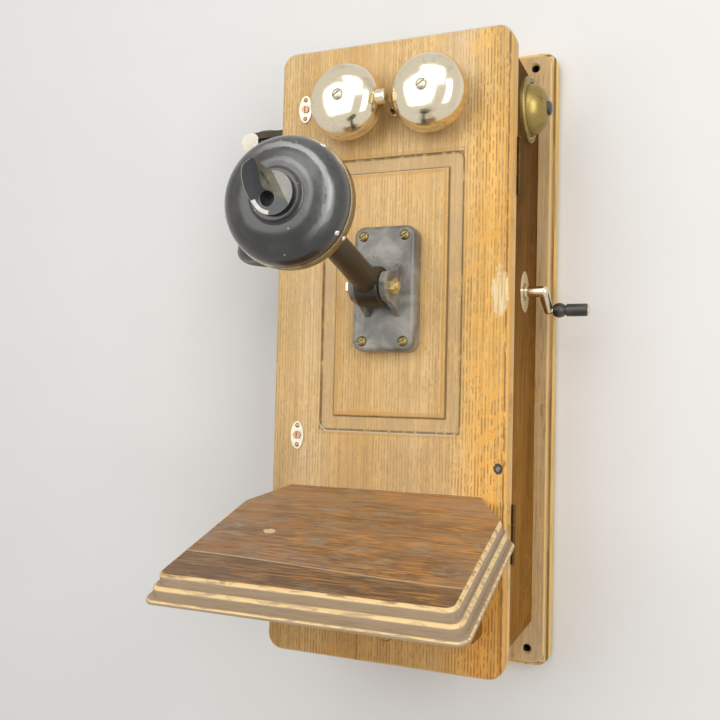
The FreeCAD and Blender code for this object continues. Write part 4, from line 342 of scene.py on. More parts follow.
def door_marks(s, colour):
    """Tone, wear and painted light on the door's front: stiles, panel, worn arrises, scuff, knot and board
    joint.
    """
    x, y, z = s.axes
    plain = colour
    fine = s.noise(s.spot((260, 260, 90)), 3, 0.6)
    patchy = s.noise(s.spot((30, 30, 30), (3, 8, 1)), 4, 0.6)
    specks = s.noise(s.spot((900, 900, 210), (4, 1, 6)), 2, 0.6)
    # Left side: paler and greyer in mottled patches, a painted sheen from the left with a mottled tone
    left_sheen_and_mottle = s.both(s.band(x, 0.075, 0.045), s.band(patchy, 0.36, 0.62, 0.08, 0.42))
    colour = s.mix(s.both(left_sheen_and_mottle, s.band(fine, 0.36, 0.60, 0.35, 1.0)), colour, rgb(198, 166, 118))
    colour = s.mix(s.band(specks, 0.58, 0.72, 0.0, 0.40), colour, rgb(150, 110, 60))
    colour = s.mix(s.band(x, 0.050, 0.085), colour, (1.03, 0.88, 0.50), "MULTIPLY")
    # The left side's cooler tint is part of the same painted sheen
    colour = s.mix(s.band(x, -0.055, -0.085), colour, (0.94, 0.97, 1.06), "MULTIPLY")
    # Below the panel: darker and greyer, a painted shade of light that falls from above
    painted_low_shade = s.both(s.band(z, -0.06, -0.10), s.band(x, 0.08, 0.05))
    colour = s.mix(painted_low_shade, colour, (0.86, 0.87, 0.92), "MULTIPLY")
    # Foot of the door under the shelf: darker, a painted shadow of the shelf
    colour = s.mix(s.band(z, -0.13, -0.20), colour, (0.95, 0.82, 0.58), "MULTIPLY")
    # Top right: greyer and less orange, a painted sheen of light from above
    painted_top_sheen = s.both(s.band(z, 0.16, 0.22), s.band(x, 0.03, 0.07))
    colour = s.mix(painted_top_sheen, colour, (0.90, 0.98, 1.25), "MULTIPLY")

    # Panel: grey band, dark lines along its two grooves and an ochre line on the field's edge
    depth = s.inside(PANEL_CENTRE, PANEL_HALF)
    on_band = s.both(s.band(depth, 0.0, 0.002), s.band(depth, PANEL_BAND, PANEL_BAND - 0.002))
    colour = s.mix(s.both(on_band, s.band(patchy, 0.30, 0.62, 0.15, 0.65)), colour, rgb(196, 165, 118))
    groove = s.both(s.line(depth, 0.0008, 0.0014, 0.8), s.band(fine, 0.3, 0.5))
    colour = s.mix(groove, colour, rgb(112, 92, 62))
    colour = s.mix(s.line(depth, -0.0022, 0.0018, 0.35), colour, rgb(188, 140, 66))
    colour = s.mix(s.line(depth, PANEL_BAND - 0.0004, 0.0012, 0.75), colour, rgb(104, 82, 50))
    colour = s.mix(s.line(depth, PANEL_BAND + 0.0022, 0.0024, 0.55), colour, rgb(206, 150, 66))

    # Arrises: a dark line on the right one and a rubbed line beside it, pale wear along the foot and the
    # left, pale wear and a painted highlight along the top
    from_edge = s.inside((0.0, 0.0), DOOR_HALF)
    right_side = s.band(x, 0.09, 0.095)
    right_arris_dark_line = s.both(s.line(from_edge, DOOR_ROUND - 0.0004, 0.0011, 0.8), right_side, s.band(fine, 0.3, 0.5))
    colour = s.mix(right_arris_dark_line, colour, rgb(116, 76, 36))
    rubbed = s.both(s.line(from_edge, 0.0075, 0.0010, 0.5), right_side, s.band(patchy, 0.42, 0.58))
    colour = s.mix(rubbed, colour, rgb(178, 150, 112))
    # The top arris's pale line is partly wear and partly a painted highlight, where the rounded edge turns
    # up to the light
    worn = s.both(s.line(s.facing((0, -1, 0)), 0.62, 0.42), s.band(fine, 0.25, 0.55, 0.3, 1.0))
    top_edge = s.band(s.facing((0, 0, 1)), 0.15, 0.4)
    colour = s.mix(s.both(worn, top_edge), colour, rgb(214, 204, 186))
    foot_edge = s.band(s.facing((0, 0, -1)), 0.15, 0.4)
    left_edge = s.band(s.facing((-1, 0, 0)), 0.15, 0.4)
    other_edges = s.calc("MAXIMUM", foot_edge, left_edge)
    colour = s.mix(s.both(worn, other_edges, s.band(patchy, 0.4, 0.6, 0.1, 0.8)), colour, rgb(236, 196, 120))

    # Marks: a scuff through to pale wood, a knot with a dark ring, and the joint between two boards
    fibres = s.noise(s.spot((900, 900, 40)), 2, 0.6)
    scuff = s.blot(x, z, SCUFF, SCUFF_HALF, s.noise(s.spot((190, 190, 150), (2, 2, 9)), 3, 0.6))
    colour = s.mix(scuff, colour, s.ramp(fibres, [(0.35, rgb(224, 178, 104)), (0.6, rgb(250, 226, 178))]))
    ragged = s.noise(s.spot((420, 420, 420)), 2)
    colour = s.mix(s.blot(x, z, KNOT, KNOT_HALF, ragged), colour, rgb(62, 38, 24))
    colour = s.mix(s.blot(x, z, KNOT, KNOT_HEART_HALF, ragged), colour, rgb(128, 124, 120))
    joint = s.both(s.band(z, -0.118, -0.122), s.line(x, DOOR_JOINT_X, 0.0006, 0.85))
    colour = s.mix(joint, colour, rgb(92, 66, 34))
    front = s.band(y, DOOR_LOW.y + 0.012, DOOR_LOW.y + 0.010)
    return s.mix(front, plain, colour)


def board_marks(s, colour):
    """Backboard: grey handling, painted highlights on the arris at the step and on the lip's edge, painted
    shade on the lip and in the wall holes.
    """
    depth = s.inside((0.0, 0.0), BOARD_HALF)
    fine = s.noise(s.spot((220, 220, 14)), 3, 0.6)
    patchy = s.noise(s.spot((26, 26, 9), (4, 4, 4)), 4, 0.6)
    colour = s.mix(s.band(patchy, 0.40, 0.68, 0.0, 0.55), colour, rgb(204, 178, 140))
    # The lip is darker: painted shade on the stepped edge
    lip = s.band(depth, BOARD_LIP + 0.0004, BOARD_LIP - 0.0004)
    colour = s.mix(s.both(lip, s.band(fine, 0.32, 0.62, 0.35, 0.9)), colour, rgb(128, 98, 52))
    # Bright lines on the step's arris and on the outer edge are painted highlights
    arris = s.line(depth, BOARD_LIP + 0.0006, 0.0012)
    colour = s.mix(s.both(arris, s.band(patchy, 0.30, 0.55, 0.25, 0.9)), colour, rgb(238, 202, 136))
    outer = s.line(depth, 0.0006, 0.0014)
    colour = s.mix(s.both(outer, s.band(fine, 0.34, 0.52, 0.3, 1.0)), colour, rgb(244, 208, 132))
    specks = s.band(s.noise(s.spot((520, 520, 260)), 2), 0.70, 0.76, 0.0, 0.7)
    colour = s.mix(specks, colour, rgb(236, 214, 172))
    # The wall holes are dark: painted shade inside them
    across = s.calc("ABSOLUTE", s.axes[0])
    high = s.calc("ABSOLUTE", s.axes[2])
    hole = s.blot(across, high, WALL_HOLE, (WALL_HOLE_RADIUS, WALL_HOLE_RADIUS), fine)
    return s.mix(hole, colour, rgb(34, 25, 16))


def shelf_marks(s, colour):
    """Writing shelf: bleached top, darker front strip, pale joint, worn ridges on the moulding, painted
    shade underneath.
    """
    x = s.axes[0]
    top = s.facing(SHELF_UP)
    down = s.along(SHELF_DOWN, SHELF_START)
    level = s.along(SHELF_UP, SHELF_START)
    on_top = s.both(s.band(top, 0.96, 0.99), s.band(level, -0.0016, -0.0008))
    fine = s.noise(s.spot((40, 560, 560)), 3, 0.6)
    patchy = s.noise(s.spot((14, 40, 40), (6, 2, 1)), 4, 0.6, 0.5)
    bleach = s.noise(s.spot((36, 130, 130), (1, 7, 4)), 5, 0.65, 0.6)
    orange = s.both(s.band(patchy, 0.40, 0.60, 0.15, 1.0), s.band(fine, 0.47, 0.60))
    colour = s.mix(s.both(orange, on_top, s.band(x, -0.10, 0.03, 0.35, 0.9)), colour, rgb(212, 146, 74))
    film = s.both(s.band(bleach, 0.46, 0.66), s.band(patchy, 0.62, 0.40, 0.25, 0.75))
    colour = s.mix(s.both(film, on_top), colour, rgb(168, 152, 130))

    # The strip's joint runs at a slight slant, so its distance from the front changes along x
    share = s.band(x, SHELF_START[0] - SHELF_HALF_WIDTH, SHELF_START[0] + SHELF_HALF_WIDTH)
    slant = s.calc("MULTIPLY", share, SHELF_STRIP_LEFT - SHELF_STRIP_RIGHT)
    past_joint = s.calc("SUBTRACT", s.calc("SUBTRACT", down, SHELF_LENGTH - SHELF_STRIP_LEFT), slant)
    strip = s.both(s.band(past_joint, -0.0004, 0.0004), s.band(fine, 0.40, 0.60, 0.75, 0.35), on_top)
    colour = s.mix(strip, colour, rgb(94, 70, 46))
    joint = s.both(s.line(past_joint, 0.0, 0.0011, 0.8), on_top, s.band(fine, 0.25, 0.45, 0.4, 1.0))
    colour = s.mix(joint, colour, rgb(198, 180, 152))
    speck = s.blot(x, down, SHELF_SPECK, SHELF_SPECK_HALF, s.noise(s.spot((300, 300, 300)), 2))
    colour = s.mix(s.both(speck, on_top), colour, rgb(226, 200, 156))

    # Moulding: grey in the coves, cream where the ridges are rubbed, and painted shade on the faces that
    # look down
    moulding = s.band(level, -0.0008, -0.0018)
    colour = s.mix(s.both(moulding, s.band(fine, 0.30, 0.60, 0.65, 0.95)), colour, rgb(174, 153, 125))
    worn = s.both(s.band(top, 0.22, 0.45), s.band(top, 0.995, 0.97))
    rubbed = s.noise(s.spot((48, 300, 300), (5, 5, 5)), 4, 0.6, 0.4)
    colour = s.mix(s.both(worn, s.band(rubbed, 0.36, 0.54, 0.20, 0.95)), colour, rgb(248, 212, 150))
    return s.mix(s.band(top, -0.5, -0.9, 0.0, 0.6), colour, rgb(150, 104, 48))


def side_painted_shade(s, colour):
    """Box side: darker towards the top, a painted shade."""
    return s.mix(s.band(s.axes[2], -0.16, 0.20), colour, (0.34, 0.31, 0.29), "MULTIPLY")


def metal(name, colour, dark, rough, spots=0.35, worn=None, bevel=0.0008, marks=None):
    """Plated or bare metal with tarnish clouds, fine specks, faint scratches and rubbed edges."""
    s = Shader(name)
    cloud = s.noise(s.spot((70, 70, 70)), 5, 0.6, 0.5)
    speck = s.noise(s.spot((900, 900, 900)), 2, 0.5)
    scratch = s.noise(s.spot((60, 1800, 1800), turn=(0.4, 0.7, 0.2)), 2, 0.5)
    mask = s.calc("MAXIMUM", s.band(cloud, 0.50, 0.74, 0.0, spots), s.band(speck, 0.66, 0.74, 0.0, spots))
    tone = s.mix(mask, colour, dark)
    if worn:
        tone = s.mix(s.both(s.edge(bevel), s.band(cloud, 0.35, 0.6, 0.5, 1.0)), tone, worn)
    if marks:
        tone = marks(s, tone)
    roughness = s.calc("ADD", s.band(cloud, 0.3, 0.75, *rough), s.band(scratch, 0.6, 0.75, 0.0, 0.08))
    return s.finish(Base_Color=tone, Metallic=1.0, Roughness=roughness,
                    Normal=s.bump(s.noise(s.spot((260, 260, 260)), 3), 0.06, 0.0004))


def black(name, colour, rub, rough, chips=0.5, coat=0.3, worn=None, bevel=0.0012, marks=None):
    """Black japan or hard rubber, rubbed grey in places, with pale chips and worn edges."""
    s = Shader(name)
    cloud = s.noise(s.spot((38, 38, 38)), 5, 0.62, 0.6)
    fine = s.noise(s.spot((420, 420, 420)), 3, 0.6)
    chip = s.cells(s.spot((150, 150, 150)))
    chip_where = s.noise(s.spot((38, 38, 38), (5, 1, 2)), 2)
    tone = s.mix(s.band(cloud, 0.36, 0.70), colour, rub)
    tone = s.mix(s.band(fine, 0.60, 0.74, 0.0, 0.30), tone, rub)
    mask = s.both(s.band(chip, 0.12, 0.06), s.band(chip_where, 0.54, 0.62, 0.0, chips))
    tone = s.mix(mask, tone, rgb(188, 180, 166))
    if worn:
        tone = s.mix(s.both(s.edge(bevel), s.band(cloud, 0.38, 0.62, 0.15, 0.9)), tone, worn)
    if marks:
        tone = marks(s, tone)
    roughness = s.band(s.calc("ADD", cloud, s.calc("MULTIPLY", fine, 0.4)), 0.45, 0.95, *rough)
    return s.finish(Base_Color=tone, Roughness=roughness, Coat_Weight=coat, Coat_Roughness=0.28,
                    Normal=s.bump(s.calc("SUBTRACT", fine, s.calc("MULTIPLY", mask, 2.0)), 0.12, 0.0004))


def face_dust_and_highlights(s, tone):
    """Faceplate: a grey film on the dome's upper right, part dust, part painted sheen; painted highlights in
    streaks round it.
    """
    across = s.along(HEAD_RIGHT, HEAD_CENTRE)
    up = s.along(HEAD_UP, HEAD_CENTRE)
    away = s.distance(across, up)
    cloud = s.noise(s.spot((110, 110, 110), (2, 6, 3)), 4, 0.6, 0.5)
    side = s.band(s.calc("ADD", across, s.calc("MULTIPLY", up, 0.8)), -0.008, 0.034)
    film = s.both(side, s.band(away, 0.041, 0.036), s.band(cloud, 0.30, 0.70, 0.12, 0.42))
    tone = s.mix(film, tone, rgb(112, 111, 107))
    streak = s.calc("ADD", away, s.calc("MULTIPLY", s.calc("SUBTRACT", cloud, 0.5), 0.004))
    # The two streaks are painted highlights: on the dome's shoulder and round its boss
    outer, inner = s.line(streak, 0.0325, 0.0026, 0.75), s.line(streak, 0.0225, 0.0020, 0.45)
    tone = s.mix(s.both(outer, side), tone, rgb(172, 171, 166))
    return s.mix(s.both(inner, side), tone, rgb(150, 149, 145))


def hook_marks(s, tone):
    """The hook is tarnished nearly black, but for the bright disc on its prongs."""
    across = s.calc("SUBTRACT", s.axes[0], HOOK_DISC.x)
    up = s.calc("SUBTRACT", s.axes[2], HOOK_DISC.z)
    off_disc = s.band(s.distance(across, up), HOOK_DISC_RADIUS + 0.0002, HOOK_DISC_RADIUS + 0.0012)
    return s.mix(off_disc, tone, rgb(64, 58, 48))


def break_marks(s, tone):
    """A dark crack down the middle of the mouthpiece's break."""
    out = HEAD_RIGHT * math.cos(BREAK_TURN) + HEAD_UP * math.sin(BREAK_TURN)
    length = HEAD_UP * math.cos(BREAK_TURN) - HEAD_RIGHT * math.sin(BREAK_TURN)
    past = s.along(out, HEAD_CENTRE)
    run = s.along(length, HEAD_CENTRE)
    crack = s.both(s.line(past, 0.0012, 0.0011), s.band(run, 0.0035, 0.006), s.band(run, 0.0135, 0.011))
    return s.mix(crack, tone, rgb(26, 24, 18))


def winding(name):
    """Silk-covered wire wound in close turns."""
    s = Shader(name)
    turns = {"Vector": s.spot((900, 900, 0)), "Scale": 1.0, "Distortion": 0.4}
    lay = s.add("ShaderNodeTexWave", turns).outputs["Fac"]
    fade = s.noise(s.spot((60, 60, 60)), 3)
    tone = s.mix(s.band(fade, 0.3, 0.7), (0.05, 0.16, 0.08), (0.12, 0.26, 0.12))
    tone = s.mix(s.band(lay, 0.5, 0.1, 0.0, 0.6), tone, (0.03, 0.06, 0.03))
    return s.finish(Base_Color=tone, Roughness=s.band(fade, 0.3, 0.7, 0.6, 0.8),
                    Normal=s.bump(lay, 0.4, 0.0005))


def card(name):
    """Plain card sleeve, scuffed."""
    s = Shader(name)
    fibre = s.noise(s.spot((700, 700, 90)), 3, 0.6)
    scuff = s.noise(s.spot((25, 25, 25)), 5, 0.6)
    tone = s.mix(s.band(scuff, 0.35, 0.7), (0.28, 0.21, 0.13), (0.40, 0.31, 0.20))
    tone = s.mix(s.band(fibre, 0.55, 0.7, 0.0, 0.4), tone, (0.20, 0.14, 0.08))
    tone = s.mix(s.both(s.edge(0.001), s.band(scuff, 0.4, 0.6)), tone, (0.52, 0.43, 0.30))
    return s.finish(Base_Color=tone, Roughness=s.band(scuff, 0.3, 0.7, 0.75, 0.95),
                    Normal=s.bump(fibre, 0.2, 0.0004))


def dress(material, *names):
    """Give a material to nodes of the frame."""
    for name in names:
        for slot in nodes[name].material_slots:
            slot.material = material


# Wood: dark, middle and pale tones, then the tones of the pores and of the ray flecks
dress(oak("door_oak", [rgb(222, 176, 104), rgb(238, 197, 128), rgb(246, 210, 152)],
          rgb(160, 116, 58), rgb(241, 188, 110), rows=0.00265, pores=0.85, fleck=door_flecks,
          fleck_most=0.6, fade=door_pores, marks=door_marks),
      "door_panel")
# The sides and brackets take a darker copy of the door's oak, partly painted shade
dress(oak("side_oak", [rgb(134, 90, 32), rgb(164, 112, 40), rgb(182, 130, 52)],
          rgb(80, 52, 22), rgb(184, 126, 48), fleck_most=0.3, shift=(3, 5, 1),
          rough=(0.65, 0.85), coat=0.0, gloss=0.06, marks=side_painted_shade),
      "left_side", "right_side", "shelf_brackets")
dress(oak("box_oak", [rgb(118, 78, 30), rgb(146, 100, 42), rgb(164, 118, 54)],
          rgb(78, 52, 24), rgb(168, 116, 48), along="x", fleck_most=0.3, shift=(2, 3, 7),
          rough=(0.6, 0.8), coat=0.0, gloss=0.2),
      "box_top", "box_bottom", "inner_shelf")
dress(oak("board_oak", [rgb(206, 164, 104), rgb(230, 192, 134), rgb(240, 208, 154)],
          rgb(140, 104, 58), rgb(236, 192, 118), fleck_most=0.3, shift=(1, 8, 2),
          rough=(0.55, 0.75), coat=0.05, gloss=0.3, marks=board_marks),
      "backboard")
dress(oak("shelf_oak", [rgb(126, 92, 60), rgb(160, 121, 80), rgb(186, 145, 100)],
          rgb(88, 62, 38), rgb(210, 146, 78), along="x", pores=0.6, fleck_most=0.25,
          shift=(1, 2, 8), marks=shelf_marks),
      "writing_shelf", "shelf_front_strip")

# Metal: bright and tarnished tones, roughness from and to, share of tarnish, and the tone of rubbed edges
dress(metal("nickel", rgb(228, 217, 192), rgb(152, 126, 88), (0.10, 0.22), 0.35),
      "gong_left", "gong_right", "gong_posts", "clapper", "clapper_ferrule", "crank", "crank_plate",
      "hook_plate")
dress(metal("hook_nickel", rgb(180, 174, 162), rgb(146, 134, 112), (0.34, 0.50), 0.4, marks=hook_marks),
      "hook_lever")
dress(metal("plate_nickel", rgb(204, 197, 180), rgb(138, 120, 92), (0.34, 0.50), 0.5),
      "lock_plates", "gong_screws")
# The cup's and bezel's nickel is darker and warmer than the gongs': a painted dark, oak-tinted reflection
dress(metal("cup_nickel", rgb(126, 118, 96), rgb(72, 60, 42), (0.14, 0.28), 0.5), "transmitter_cup")
dress(metal("bezel_nickel", rgb(146, 134, 108), rgb(84, 70, 48), (0.22, 0.36), 0.6), "transmitter_bezel")
dress(metal("copper_screws", rgb(176, 142, 112), rgb(96, 72, 52), (0.3, 0.45), 0.6, rgb(206, 176, 146)),
      "lock_plate_screws", "upper_lock_stud", "lower_lock_stud")
dress(metal("old_brass", rgb(158, 138, 82), rgb(88, 74, 40), (0.36, 0.52), 0.7, rgb(204, 184, 124)),
      "button_flange", "button_dome", "crank_bushing", "hook_pivot", "door_stud")
dress(metal("dull_brass", rgb(140, 124, 84), rgb(88, 72, 44), (0.34, 0.5), 0.6, rgb(186, 168, 116)),
      "bracket_screws", "button_screws")
dress(metal("dark_bronze", rgb(92, 68, 38), rgb(54, 40, 24), (0.40, 0.58), 0.6, rgb(128, 100, 60)),
      "hinge_box_leaves", "hinge_door_leaves", "hinge_pins")
dress(metal("pale_brass", rgb(222, 204, 152), rgb(140, 116, 72), (0.24, 0.4), 0.4, rgb(246, 234, 190)),
      "pivot_bolt", "pivot_nut")
dress(metal("steel", rgb(190, 190, 190), rgb(136, 130, 124), (0.25, 0.42), 0.4, rgb(212, 212, 210)),
      "drive_gear", "generator_armature", "generator_end_plates", "hook_springs", "transmitter_diaphragm")
dress(metal("iron", rgb(110, 110, 112), rgb(78, 62, 52), (0.45, 0.65), 0.6, rgb(142, 140, 138)),
      "generator_magnets", "generator_pole_pieces", "ringer_frame", "hook_bracket")

# Black: tone, rubbed tone, roughness from and to, and strength of the chips
# The bracket's black japan is given grey tones throughout: a painted sheen
dress(black("japan", rgb(98, 95, 88), rgb(164, 159, 148), (0.28, 0.48), 0.4, worn=rgb(186, 181, 168)),
      "transmitter_bracket")
# The arm's black is tinted brown: a painted reflection of the oak
dress(black("arm_black", rgb(26, 18, 10), rgb(50, 37, 22), (0.30, 0.46), 0.35, coat=0.08,
            worn=rgb(104, 88, 64)),
      "transmitter_arm")
dress(black("face_black", rgb(24, 24, 24), rgb(46, 46, 46), (0.16, 0.30), 0.7, coat=0.6, marks=face_dust_and_highlights),
      "transmitter_face")
dress(black("shard_black", rgb(30, 32, 35), rgb(58, 61, 64), (0.22, 0.38), 0.3, worn=rgb(178, 173, 156),
            bevel=0.0007),
      "mouthpiece_stub")
dress(black("rubber", rgb(42, 41, 38), rgb(82, 80, 74), (0.32, 0.5), 0.35, worn=rgb(104, 101, 94)),
      "crank_grip", "receiver_shell", "receiver_ear_cap", "receiver_tail_cap", "push_button",
      "carbon_button")
dress(winding("coil_green"), "ringer_coils", "induction_coil")
dress(card("cell_card"), "dry_cells")


def round_head(name, radius, height, place, out, body):
    """A slotted round-headed screw: a lathed dome on a short collar, with a slot pressed across it."""
    rings = [(1.0, -0.6), (1.0, 0.12), (0.97, 0.34), (0.86, 0.60), (0.68, 0.80), (0.45, 0.93), (0.2, 0.99)]
    steps = 40
    slot_half = radius * 0.18
    slot_depth = height * 0.35
    mesh = bpy.data.meshes.new(name)
    bm = bmesh.new()
    loops = []
    for share, rise in rings:
        loop = []
        for i in range(steps):
            turn = 2 * math.pi * i / steps
            out_x = radius * share * math.cos(turn)
            out_y = radius * share * math.sin(turn)
            loop.append(bm.verts.new((out_x, out_y, height * rise)))
        loops.append(loop)
    for lower, upper in zip(loops, loops[1:]):
        for i in range(steps):
            j = (i + 1) % steps
            bm.faces.new((lower[i], lower[j], upper[j], upper[i]))
    bm.faces.new(loops[-1])
    bm.faces.new(list(reversed(loops[0])))
    for vert in bm.verts:
        if abs(vert.co.y) < slot_half and vert.co.z > height * 0.3:
            vert.co.z -= slot_depth
    for face in bm.faces:
        face.smooth = True
    bm.to_mesh(mesh)
    bm.free()
    screw = bpy.data.objects.new(name, mesh)
    screw.matrix_world = Matrix.Translation(place) @ Vector(out).to_track_quat("Z", "X").to_matrix().to_4x4()
    bpy.context.scene.collection.objects.link(screw)
    mesh.materials.append(bpy.data.materials["nickel"])
    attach(screw, body)


def mouth_top(across, up):
    """The broken mouthpiece's height at a place across the head, and which surface it is there."""
    past = across * math.cos(BREAK_TURN) + up * math.sin(BREAK_TURN)
    run = up * math.cos(BREAK_TURN) - across * math.sin(BREAK_TURN)
    if past >= BREAK_OFFSET:
        return MOUTH_SEAT, "seat"
    climb = (across - MOUTH_HOLE[0]) * math.cos(RAMP_TURN) + (up - MOUTH_HOLE[1]) * math.sin(RAMP_TURN)
    ramp = MOUTH_RISE * (max(climb, 0.0) / RAMP_REACH) ** RAMP_BEND
    broken = BREAK_SLOPE * math.exp(BREAK_STEEPEN * run) * (BREAK_OFFSET - past)
    bare = run < BREAK_LOW and BREAK_OFFSET - past < BREAK_SPREAD * (run + BREAK_END)
    return MOUTH_SEAT + min(ramp, broken, MOUTH_RISE), "break" if bare or broken < ramp else "ramp"


def mouth_edge(across, up):
    """The mouthpiece's radius where its top has the height of a place: it flares as it rises."""
    return MOUTH_RADIUS + MOUTH_FLARE * (mouth_top(across, up)[0] - MOUTH_SEAT) / MOUTH_RISE


def from_hole(way, reach):
    """The place across the head at a distance from the middle of the hole."""
    return MOUTH_HOLE[0] + way[0] * reach, MOUTH_HOLE[1] + way[1] * reach


def mouth_ways():
    """Ways out from the middle of the hole, each with the distance to the rim."""
    ways = []
    for i in range(MOUTH_STEPS):
        turn = 2 * math.pi * i / MOUTH_STEPS
        way = (math.cos(turn), math.sin(turn))
        reach = MOUTH_HOLE_RADIUS
        across, up = from_hole(way, reach)
        while math.hypot(across, up) < mouth_edge(across, up):
            reach += MOUTH_SEARCH_STEP
            across, up = from_hole(way, reach)
        ways.append((way, reach))
    return ways


def mouth_rings():
    """The hole's floor, rings from the hole out to the rim, and a skirt down to the faceplate."""
    ways = mouth_ways()
    rings = [[(*from_hole(way, MOUTH_HOLE_RADIUS), MOUTH_HOLE_FLOOR) for way, reach in ways]]
    for number in range(MOUTH_RINGS + 1):
        ring = []
        for way, reach in ways:
            out = MOUTH_HOLE_RADIUS + (reach - MOUTH_HOLE_RADIUS) * number / MOUTH_RINGS
            across, up = from_hole(way, out)
            ring.append((across, up, mouth_top(across, up)[0]))
        rings.append(ring)
    for height in (MOUTH_SEAT - MOUTH_SKIRT_DROP, MOUTH_FOOT):
        ring = []
        for way, reach in ways:
            across, up = from_hole(way, reach)
            share = MOUTH_RADIUS / math.hypot(across, up)
            ring.append((across * share, up * share, height))
        rings.append(ring)
    return rings


def mouth_look(middle):
    """Which surface of the mouthpiece a face is on."""
    across, up = middle.dot(HEAD_RIGHT), middle.dot(HEAD_UP)
    turn = math.degrees(math.atan2(up, across)) % 360
    # The rim's lower left takes a painted highlight
    near_rim = math.hypot(across, up) > MOUTH_RADIUS - RIM_HIGHLIGHT_WIDTH
    if near_rim and RIM_HIGHLIGHT_TURNS[0] < turn < RIM_HIGHLIGHT_TURNS[1]:
        return "rim"
    return mouth_top(across, up)[1]


def broken_mouthpiece():
    """The stub and shard of the mouthpiece, in place of its plainer solid."""
    looks = {"ramp": "shard_black", "break": "break_olive", "seat": "seat_dust", "rim": "rim_highlight"}
    indices = {look: i for i, look in enumerate(looks)}
    bm = bmesh.new()
    loops = []
    for ring in mouth_rings():
        loop = []
        for across, up, rise in ring:
            loop.append(bm.verts.new(HEAD_CENTRE + HEAD_RIGHT * across + HEAD_UP * up + HEAD_AXIS * rise))
        loops.append(loop)
    for number, (inner, outer) in enumerate(zip(loops, loops[1:])):
        for i in range(MOUTH_STEPS):
            j = (i + 1) % MOUTH_STEPS
            face = bm.faces.new((inner[i], outer[i], outer[j], inner[j]))
            face.smooth = True
            if 1 <= number <= MOUTH_RINGS:
                face.material_index = indices[mouth_look(face.calc_center_median() - HEAD_CENTRE)]
    bm.faces.new(loops[0])
    bm.faces.new(loops[-1])
    bmesh.ops.recalc_face_normals(bm, faces=bm.faces)
    mesh = bpy.data.meshes.new("broken_mouthpiece")
    bm.to_mesh(mesh)
    bm.free()
    mesh.set_sharp_from_angle(angle=MOUTH_SHARP)
    for material in looks.values():
        mesh.materials.append(bpy.data.materials[material])
    shard = bpy.data.objects.new("broken_mouthpiece", mesh)
    bpy.context.scene.collection.objects.link(shard)
    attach(shard, "transmitter")
    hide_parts("mouthpiece_stub")


black("break_olive", rgb(80, 75, 55), rgb(112, 106, 82), (0.40, 0.60), 0.2, coat=0.1, marks=break_marks)
black("seat_dust", rgb(132, 130, 122), rgb(166, 163, 155), (0.45, 0.65), 0.2, coat=0.1)
# Near white: a painted highlight on the rim
black("rim_highlight", rgb(206, 200, 190), rgb(230, 226, 218), (0.40, 0.60), 0.1, coat=0.1)
broken_mouthpiece()


def on_head(turn, radius, rise):
    """A place on the transmitter head, turned in degrees from its right, and the way out from its axis."""
    angle = math.radians(turn)
    outward = HEAD_RIGHT * math.cos(angle) + HEAD_UP * math.sin(angle)
    return HEAD_CENTRE + outward * radius + HEAD_AXIS * rise, outward


# The rim's screws stand on the face's flank, and lean forward with it
for number, turn in enumerate(RIM_SCREW_TURNS):
    place, outward = on_head(turn, RIM_SCREW_OUT, RIM_SCREW_RISE)
    lean = outward * RIM_SCREW_LEAN[0] + HEAD_AXIS * RIM_SCREW_LEAN[1]
    name = "rim_screw_%d" % (number + 1)
    round_head(name, RIM_SCREW_RADIUS, RIM_SCREW_HEIGHT, place, lean, "transmitter")
place, outward = on_head(CUP_SCREW_TURN, CUP_SCREW_OUT, CUP_SCREW_RISE)
round_head("cup_screw", CUP_SCREW_RADIUS, CUP_SCREW_HEIGHT, place, outward, "transmitter")


# Stage, in metres: a wall just behind the backboard that bends into a floor well below it
PALE = rgb(236, 234, 230)
STAGE_WALL_Y = 0.003
STAGE_WALL_TOP = 2.2
STAGE_FLOOR_Z = -0.95
STAGE_FLOOR_FRONT = -4.0
STAGE_BEND = 0.35
STAGE_BEND_STEPS = 12
STAGE_HALF_WIDTH = 3.0
STAGE_FADE = (0.70, 1.25)
STAGE_OPENING_INSET = 0.014
STAGE_HOLE_COVER = 0.013
STAGE_SOFT = 0.001
WORLD_LIGHT = 0.34


def pale_paper():
    """The stage's paper, which is clear from behind, fades far out, and is open behind the backboard."""
    s = Shader("pale_paper")
    tone = s.mix(s.noise(s.spot((6, 6, 6)), 3), PALE, rgb(242, 240, 237))
    material = s.finish(Base_Color=tone, Roughness=0.9)
    clear = s.add("ShaderNodeBsdfTransparent")
    behind = s.add("ShaderNodeNewGeometry").outputs["Backfacing"]
    away = s.add("ShaderNodeVectorMath", {0: s.place}, operation="LENGTH").outputs["Value"]
    side = s.calc("SUBTRACT", s.calc("ABSOLUTE", s.axes[0]), WALL_HOLE[0])
    rise = s.calc("SUBTRACT", s.calc("ABSOLUTE", s.axes[2]), WALL_HOLE[1])
    depth = s.inside((0.0, 0.0), BOARD_HALF)
    off_hole = s.band(s.distance(side, rise), STAGE_HOLE_COVER, STAGE_HOLE_COVER + STAGE_SOFT)
    opening = s.both(s.band(depth, STAGE_OPENING_INSET, STAGE_OPENING_INSET + STAGE_SOFT), off_hole)
    gone = s.calc("MAXIMUM", s.calc("MAXIMUM", behind, opening), s.band(away, *STAGE_FADE))
    shown = s.add("ShaderNodeMixShader", {0: gone, 1: s.bsdf.outputs["BSDF"], 2: clear.outputs["BSDF"]})
    s.tree.links.new(shown.outputs["Shader"], s.output.inputs["Surface"])
    return material


